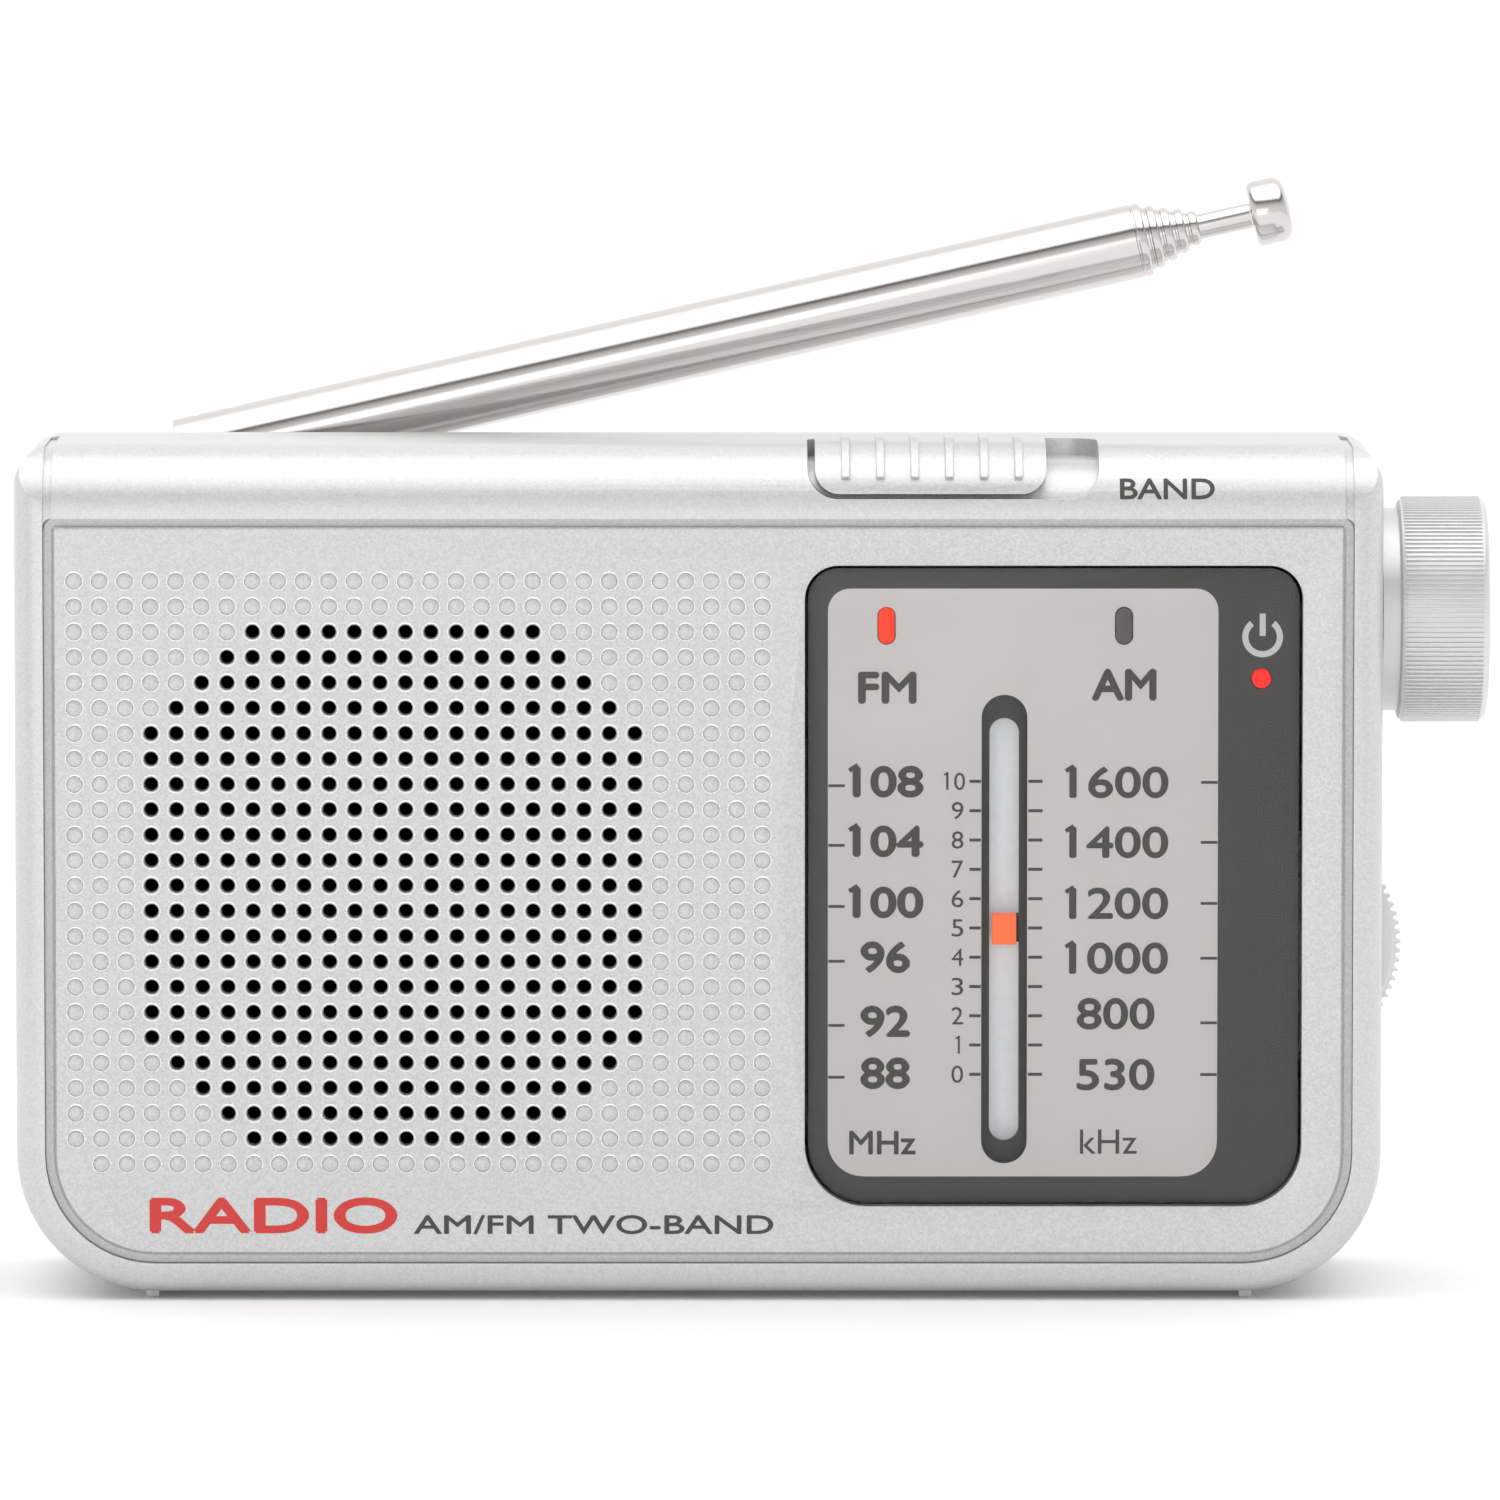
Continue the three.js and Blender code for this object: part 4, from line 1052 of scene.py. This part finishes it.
def battery_door():
    """A flat door with a ridged thumb grip and an arrow cut into it."""
    low = door_low
    high = door_high
    middle = (low.x + high.x) / 2
    panel = slab("Y", (low.x, high.x), (low.z, high.z), (low.y, high.y), (0.8,) * 4, 4)
    round_edges(panel, rim_at(1, high.y), 0.3, 3)
    grip = slab("Y", (middle - 7, middle + 7), (high.z - 6.6, high.z - 1.9),
                (high.y - 0.75, high.y + 1), (1.2,) * 4, 5)
    ribs = []
    for number in range(4):
        z = high.z - 5.75 + number * 1.0
        ribs.append(slab("X", (high.y - 1.0, high.y - 0.12), (z - 0.22, z + 0.22),
                         (middle - 6.2, middle + 6.2), (0, 0.2, 0.2, 0), 3))
    arrow = bmesh.new()
    bmesh.ops.create_circle(arrow, cap_ends=True, segments=3, radius=1.6)
    thicken(arrow, (0, 0, 1))
    place = Matrix.Translation((middle, high.y + 0.6, high.z - 9.4))
    stand = place @ Matrix.Rotation(math.pi / 2, 4, "X") @ Matrix.Rotation(math.pi, 4, "Z")
    bmesh.ops.transform(arrow, matrix=stand, verts=arrow.verts)
    door = cut(panel, grip, arrow)
    finished("ridged_battery_door", gather(door, *ribs), shell_paint, "door",
             ["battery_door"], chamfer=0.06)


def case_screws():
    screws = []
    for node in screw_nodes:
        low, high = corners(node)
        middle = (low + high) / 2
        top = high.y
        shank = [(0, low.y), (0.9, low.y + 1), (0.9, top - 1.2)]
        head = [(2.0, top - 1.2), (2.0, top - 0.45), (1.86, top - 0.2), (1.5, top - 0.06), (0, top)]
        screw = turned(shank + head, Y_AXIS, (middle.x, 0, middle.z), 36)
        for wide, tall in ((1.2, 0.24), (0.24, 1.2)):
            width = (middle.x - wide, middle.x + wide)
            screw = cut(screw, slab("Y", width, (middle.z - tall, middle.z + tall), (top - 0.85, top + 1)))
        screws.append(screw)
    finished("cross_head_screws", gather(*screws), steel, "case", screw_nodes,
             chamfer=0.04)


def jack_ring():
    """The earphone socket: its round nose, the body inside the case and a metal sleeve."""
    rim = [(1.8, 0.25), (2.05, 0.0), (2.75, 0.0), (JACK_NOSE, 0.25)]
    nose = turned([*rim, (JACK_NOSE, 4), (1.8, 11), (1.8, 0.25)], X_AXIS, jack_mouth, 36)
    body = slab("X", (jack_low.y, jack_high.y), (jack_low.z, jack_high.z),
                (MIDDLE - SIDE + WALL + 0.4, jack_high.x), (0.5,) * 4, 3)
    hole = rod(1.9, -3, 8, X_AXIS, jack_mouth, 24)
    sleeve = turned([(1.8, 1), (2.0, 1), (2.0, 10.9), (1.8, 10.9), (1.8, 1)], X_AXIS, jack_mouth, 24)
    finished("earphone_socket", gather(nose, cut(body, hole)), finishes["dark_plastic"], "case",
             ["earphone_jack"], chamfer=0.05)
    finished("earphone_contact_sleeve", sleeve, nickel, "case")


# ---------- antenna ----------
TILT = math.radians(12.7)
ALONG = Vector((math.cos(TILT), 0, math.sin(TILT)))
PIVOT = Vector((socket_middle.x, socket_middle.y, STEP_Z + 4.3))
TUBE_RADII = (3.75, 3.2, 2.7, 2.25, 1.75)
ROD_RADIUS = 1.275
TUBE_WALL = 0.28
BARREL_START = 4.5
BARREL_END = 103.7
RING_STEP = 1.33  # how far each tube stands out of the one round it
ROD_END = 114.4
TIP_RADIUS = 3.3
TIP_LENGTH = 3.9
EYE_BORE = 1.3
EYE_HALF = 1.5  # half the thickness of the eye that tilts in the fork
EAR_THICK = 1.4
# Steps in from a tube's outside and back from its end: a fine groove, then the rolled edge.
MOUTH = ((0, 1.12), (0.1, 1.02), (0.1, 0.9), (0, 0.78), (0, 0.42), (0.06, 0.2), (0.18, 0.05), (0.3, 0),
         (0.44, 0.02), (0.46, 0.3))
# Steps in from the tip's outside and out from its inner face.
TIP = ((0.75, 0), (0.3, 0.1), (0.08, 0.32), (0, 0.6), (0, 2.7), (0.1, 3.05), (0.4, 3.45), (0.9, 3.72),
       (1.7, 3.84))


def tube(radius, start, end):
    """A drawn tube whose mouth is rolled inwards behind a fine groove."""
    bore = radius - TUBE_WALL
    foot = [(bore, start), (radius - 0.08, start), (radius, start + 0.08)]
    mouth = [(radius - step_in, end - back) for step_in, back in MOUTH]
    return turned([*foot, *mouth, (bore, end - 0.8), (bore, start)], ALONG, PIVOT, 56)


def dimple(barrel, distance):
    """A crimp mark in the barrel's upper side."""
    up = Vector((-math.sin(TILT), 0, math.cos(TILT)))
    middle = PIVOT + ALONG * distance + up * (TUBE_RADII[0] + 0.42)
    ball = bmesh.new()
    bmesh.ops.create_icosphere(ball, subdivisions=3, radius=0.75)
    bmesh.ops.translate(ball, verts=ball.verts, vec=middle)
    return cut(barrel, ball)


def antenna():
    """The barrel, four drawn tubes, and the rod with its tip."""
    barrel = tube(TUBE_RADII[0], BARREL_START, BARREL_END)
    for distance in (7.0, 10.4):
        barrel = dimple(barrel, distance)
    finished("rolled_barrel", barrel, nickel, "antenna_arm", ["antenna_barrel"])
    for number, radius in enumerate(TUBE_RADII[1:], 1):
        drawn = tube(radius, 12 + number, BARREL_END + number * RING_STEP)
        finished(f"rolled_tube_{number}", drawn, nickel, f"antenna_section_{number}",
                 [f"antenna_tube_{number}"])
    root = 12 + len(TUBE_RADII)
    end = ROD_END - 0.1
    shaft = [(0, root), (ROD_RADIUS - 0.1, root), (ROD_RADIUS, root + 0.1), (ROD_RADIUS, end), (0, end)]
    thin = turned(shaft, ALONG, PIVOT, 40)
    outline = [(TIP_RADIUS - step_in, ROD_END + out) for step_in, out in TIP]
    tip = turned([(0, ROD_END), *outline, (0, ROD_END + TIP_LENGTH)], ALONG, PIVOT, 56)
    finished("antenna_rod_and_tip", gather(thin, tip), nickel, "antenna_section_5",
             ["antenna_rod", "antenna_tip"], crease=30)


def antenna_mount():
    """The collar in the case, the fork that swivels in it, the cross pin, and the arm's eye."""
    x, y, z = PIVOT
    low = STEP_Z - 3
    flange = STEP_Z + 0.1
    top = flange + 0.4
    sleeve = [(2.7, low), (3.3, low), (3.3, flange), (4.2, flange), (4.2, flange + 0.25)]
    lip = [(4.05, top), (2.85, top), (2.7, flange + 0.25), (2.7, low)]
    collar = turned(sleeve + lip, Z_AXIS, (x, y, 0))
    finished("swivel_collar", collar, finishes["dark_plastic"], "case", ["antenna_socket"])
    low = STEP_Z - 4
    base = flange + 0.6
    top = base + 0.6
    post = [(0, low), (2.2, low), (2.4, low + 0.2), (2.4, base)]
    rim = [(3.85, base), (4, base + 0.15), (4, base + 0.45), (3.85, top), (0, top)]
    disc = turned(post + rim, Z_AXIS, (x, y, 0))
    ears = []
    inner = EYE_HALF + GAP
    near = y - inner - EAR_THICK
    far = y + inner + EAR_THICK
    for y0 in (near, y + inner):
        ear = slab("Y", (x - 2.8, x + 2.8), (base + 0.2, z + 2.8), (y0, y0 + EAR_THICK),
                   (0, 0, 2.75, 2.75), 10)
        ears.append(cut(ear, rod(EYE_BORE, y0 - 1, y0 + 3, Y_AXIS, (x, 0, z), 24)))
    finished("swivel_fork", gather(disc, *ears), nickel, "antenna_turret",
             ["antenna_fork"], chamfer=0.12)
    head = [(0, near - 0.5), (0.9, near - 0.5), (1.4, near - 0.44), (1.65, near - 0.3), (1.7, near - 0.2)]
    shank = [(1, near - 0.2), (1, far + 0.25), (0.85, far + 0.4), (0, far + 0.4)]
    pin = turned(head + shank, Y_AXIS, (x, 0, z), 32)
    finished("tilt_pin", pin, steel, "antenna_turret", ["antenna_pin"])
    edge = [(EYE_BORE, -EYE_HALF), (2.5, -EYE_HALF), (2.7, -EYE_HALF + 0.2), (2.7, EYE_HALF - 0.2)]
    eye = turned([*edge, (2.5, EYE_HALF), (EYE_BORE, EYE_HALF), (EYE_BORE, -EYE_HALF)], Y_AXIS, PIVOT, 40)
    neck = slab("Z", (2.0, BARREL_START + 1), (-EYE_HALF, EYE_HALF), (-1.9, 1.9))
    aim = Matrix.Translation(PIVOT) @ Matrix.Rotation(-TILT, 4, "Y")
    bmesh.ops.transform(neck, matrix=aim, verts=neck.verts)
    start = BARREL_START + 0.2
    end = BARREL_START + 5
    stub = turned([(0, start), (2.9, start), (3.1, start + 0.2), (3.1, end - 0.2), (2.9, end), (0, end)],
                  ALONG, PIVOT, 40)
    finished("tilt_eye", gather(eye, neck, stub), nickel, "antenna_arm",
             ["antenna_plug"], chamfer=0.1)


# ---------- battery cells ----------
STRIPES = ((9.0, 12.5), (13.4, 14.2))  # where the label's plain stripes start and end


def battery_cell(node, direction):
    """A metal can with its nub, and the printed label round it with two plain stripes."""
    low, high = corners(node)
    start = high.x if direction < 0 else low.x
    length = high.x - low.x
    radius = (high.z - low.z) / 2
    centre = (start, (low.y + high.y) / 2, (low.z + high.z) / 2)
    axis = (direction, 0, 0)

    def side(outline):
        """Points given by their steps in from the cell's radius."""
        return [(radius - step_in, distance) for step_in, distance in outline]

    nub = [(0, 0), (2.3, 0), (2.6, 0.25), (2.6, 1.2)]
    wall = side([(0.9, 1.25), (0.3, 1.5), (0.15, 1.9), (0.15, length - 0.5), (0.6, length - 0.1)])
    end = [(3.6, length - 0.1), (3.4, length), (0, length)]
    can = turned(nub + wall + end, axis, centre)
    finished(node + "_can", can, nickel, "case", [node])
    outside = [(0.8, 1.32), (0.15, 1.5), (0.04, 1.9), (0.04, length - 0.75), (0.4, length - 0.3)]
    inside = [(0.75, length - 0.2), (0.8, length - 0.28), (0.14, length - 0.9), (0.14, 1.9), (0.8, 1.32)]
    label = turned(side(outside + inside), axis, centre)
    finished(node + "_label", label, finishes["cell_label"], "case")
    stripes = []
    for near, far in STRIPES:
        band = side([(0.06, near), (0, near), (0, far), (0.06, far), (0.06, near)])
        stripes.append(turned(band, axis, centre))
    finished(node + "_stripes", gather(*stripes), pale_ink, "case")


# ---------- studio ----------
SKY_STRENGTH = 1.87
SKY_BEHIND = 0.62  # the level of the white wall behind the radio
# How bright the room is, by the sine of the height looked at: walls, a dark gap, then the ceiling.
SKY_LEVELS = ((0.0, 0.5), (0.28, 0.5), (0.5, 0.32), (0.6, 0.08), (0.66, 0.08), (0.7, 0.9), (1.0, 1.0))
# Name, place and size in metres, and power in watts.
SOFTBOXES = (
    ("top_softbox", (0.0, -0.1, 0.8), 0.6, 0.5),
    ("front_softbox", (-0.3, -1.3, 0.1), 0.7, 1.3),
)


def room_light(world):
    """A room that is brighter behind the radio, with a dark gap between its walls and ceiling."""
    nodes = world.node_tree.nodes
    links = world.node_tree.links
    sky = nodes["Background"]
    around = nodes.new("ShaderNodeTexCoord")
    direction = nodes.new("ShaderNodeSeparateXYZ")
    links.new(around.outputs["Generated"], direction.inputs[0])
    ramp = nodes.new("ShaderNodeValToRGB")
    for _ in range(len(SKY_LEVELS) - 2):
        ramp.color_ramp.elements.new(0.5)
    for stop, (place, level) in zip(ramp.color_ramp.elements, SKY_LEVELS):
        stop.position = place
        stop.color = (level, level, level, 1)
    links.new(direction.outputs["Z"], ramp.inputs[0])
    behind = nodes.new("ShaderNodeMapRange")
    behind.inputs["From Min"].default_value = 0.15
    behind.inputs["From Max"].default_value = 0.5
    links.new(direction.outputs["Y"], behind.inputs["Value"])
    room = nodes.new("ShaderNodeMix")
    room.data_type = "FLOAT"
    room.inputs["B"].default_value = SKY_BEHIND
    links.new(behind.outputs["Result"], room.inputs["Factor"])
    links.new(ramp.outputs[0], room.inputs["A"])
    links.new(room.outputs["Result"], sky.inputs["Color"])
    sky.inputs["Strength"].default_value = SKY_STRENGTH


def studio():
    scene = bpy.context.scene
    floor_mesh = bmesh.new()
    bmesh.ops.create_grid(floor_mesh, x_segments=1, y_segments=1, size=40.0)
    floor = as_object("studio_floor", floor_mesh)
    white = Finish("studio_white", (0.9, 0.9, 0.9), Roughness=0.9, Emission_Color=(1, 1, 1, 1),
                   Emission_Strength=0.04)
    white.feed("Roughness", 0.85 + white.noise(40.0) * 0.1)
    floor.data.materials.append(white.material)
    world = bpy.data.worlds.new("studio_world")
    world.use_nodes = True
    room_light(world)
    scene.world = world
    for name, place, size, power in SOFTBOXES:
        light = bpy.data.lights.new(name, "AREA")
        light.shape = "SQUARE"
        light.size = size
        light.energy = power
        lamp = bpy.data.objects.new(name, light)
        lamp.location = place
        aim = Vector((0, 0, 0.05)) - Vector(place)
        lamp.rotation_euler = aim.to_track_quat("-Z", "Y").to_euler()
        scene.collection.objects.link(lamp)
    scene.view_settings.view_transform = "Standard"


def camera():
    """A long lens in front of the radio, a little above it."""
    distance = 1.3
    tilt = math.radians(5)
    target = Vector((MIDDLE + 5.05, FRONT, BOTTOM + 53.8)) * MM  # the middle of case, knob and antenna
    lens = bpy.data.cameras.new("camera")
    lens.lens = 318
    lens.sensor_width = 36
    lens.clip_start = 0.05
    eye = bpy.data.objects.new("camera", lens)
    eye.location = target + Vector((0, -math.cos(tilt), math.sin(tilt))) * distance
    eye.rotation_euler = (math.pi / 2 - tilt, 0, 0)
    bpy.context.scene.collection.objects.link(eye)
    bpy.context.scene.camera = eye


front_case()
front_panel()
dial()
dial_lettering()
power_sign()
panel_lettering()
band_slider()
tuning_knob()
volume_wheel()
rear_case()
battery_door()
case_screws()
jack_ring()
antenna()
antenna_mount()
battery_cell("battery_1", -1)
battery_cell("battery_2", 1)
studio()
camera()
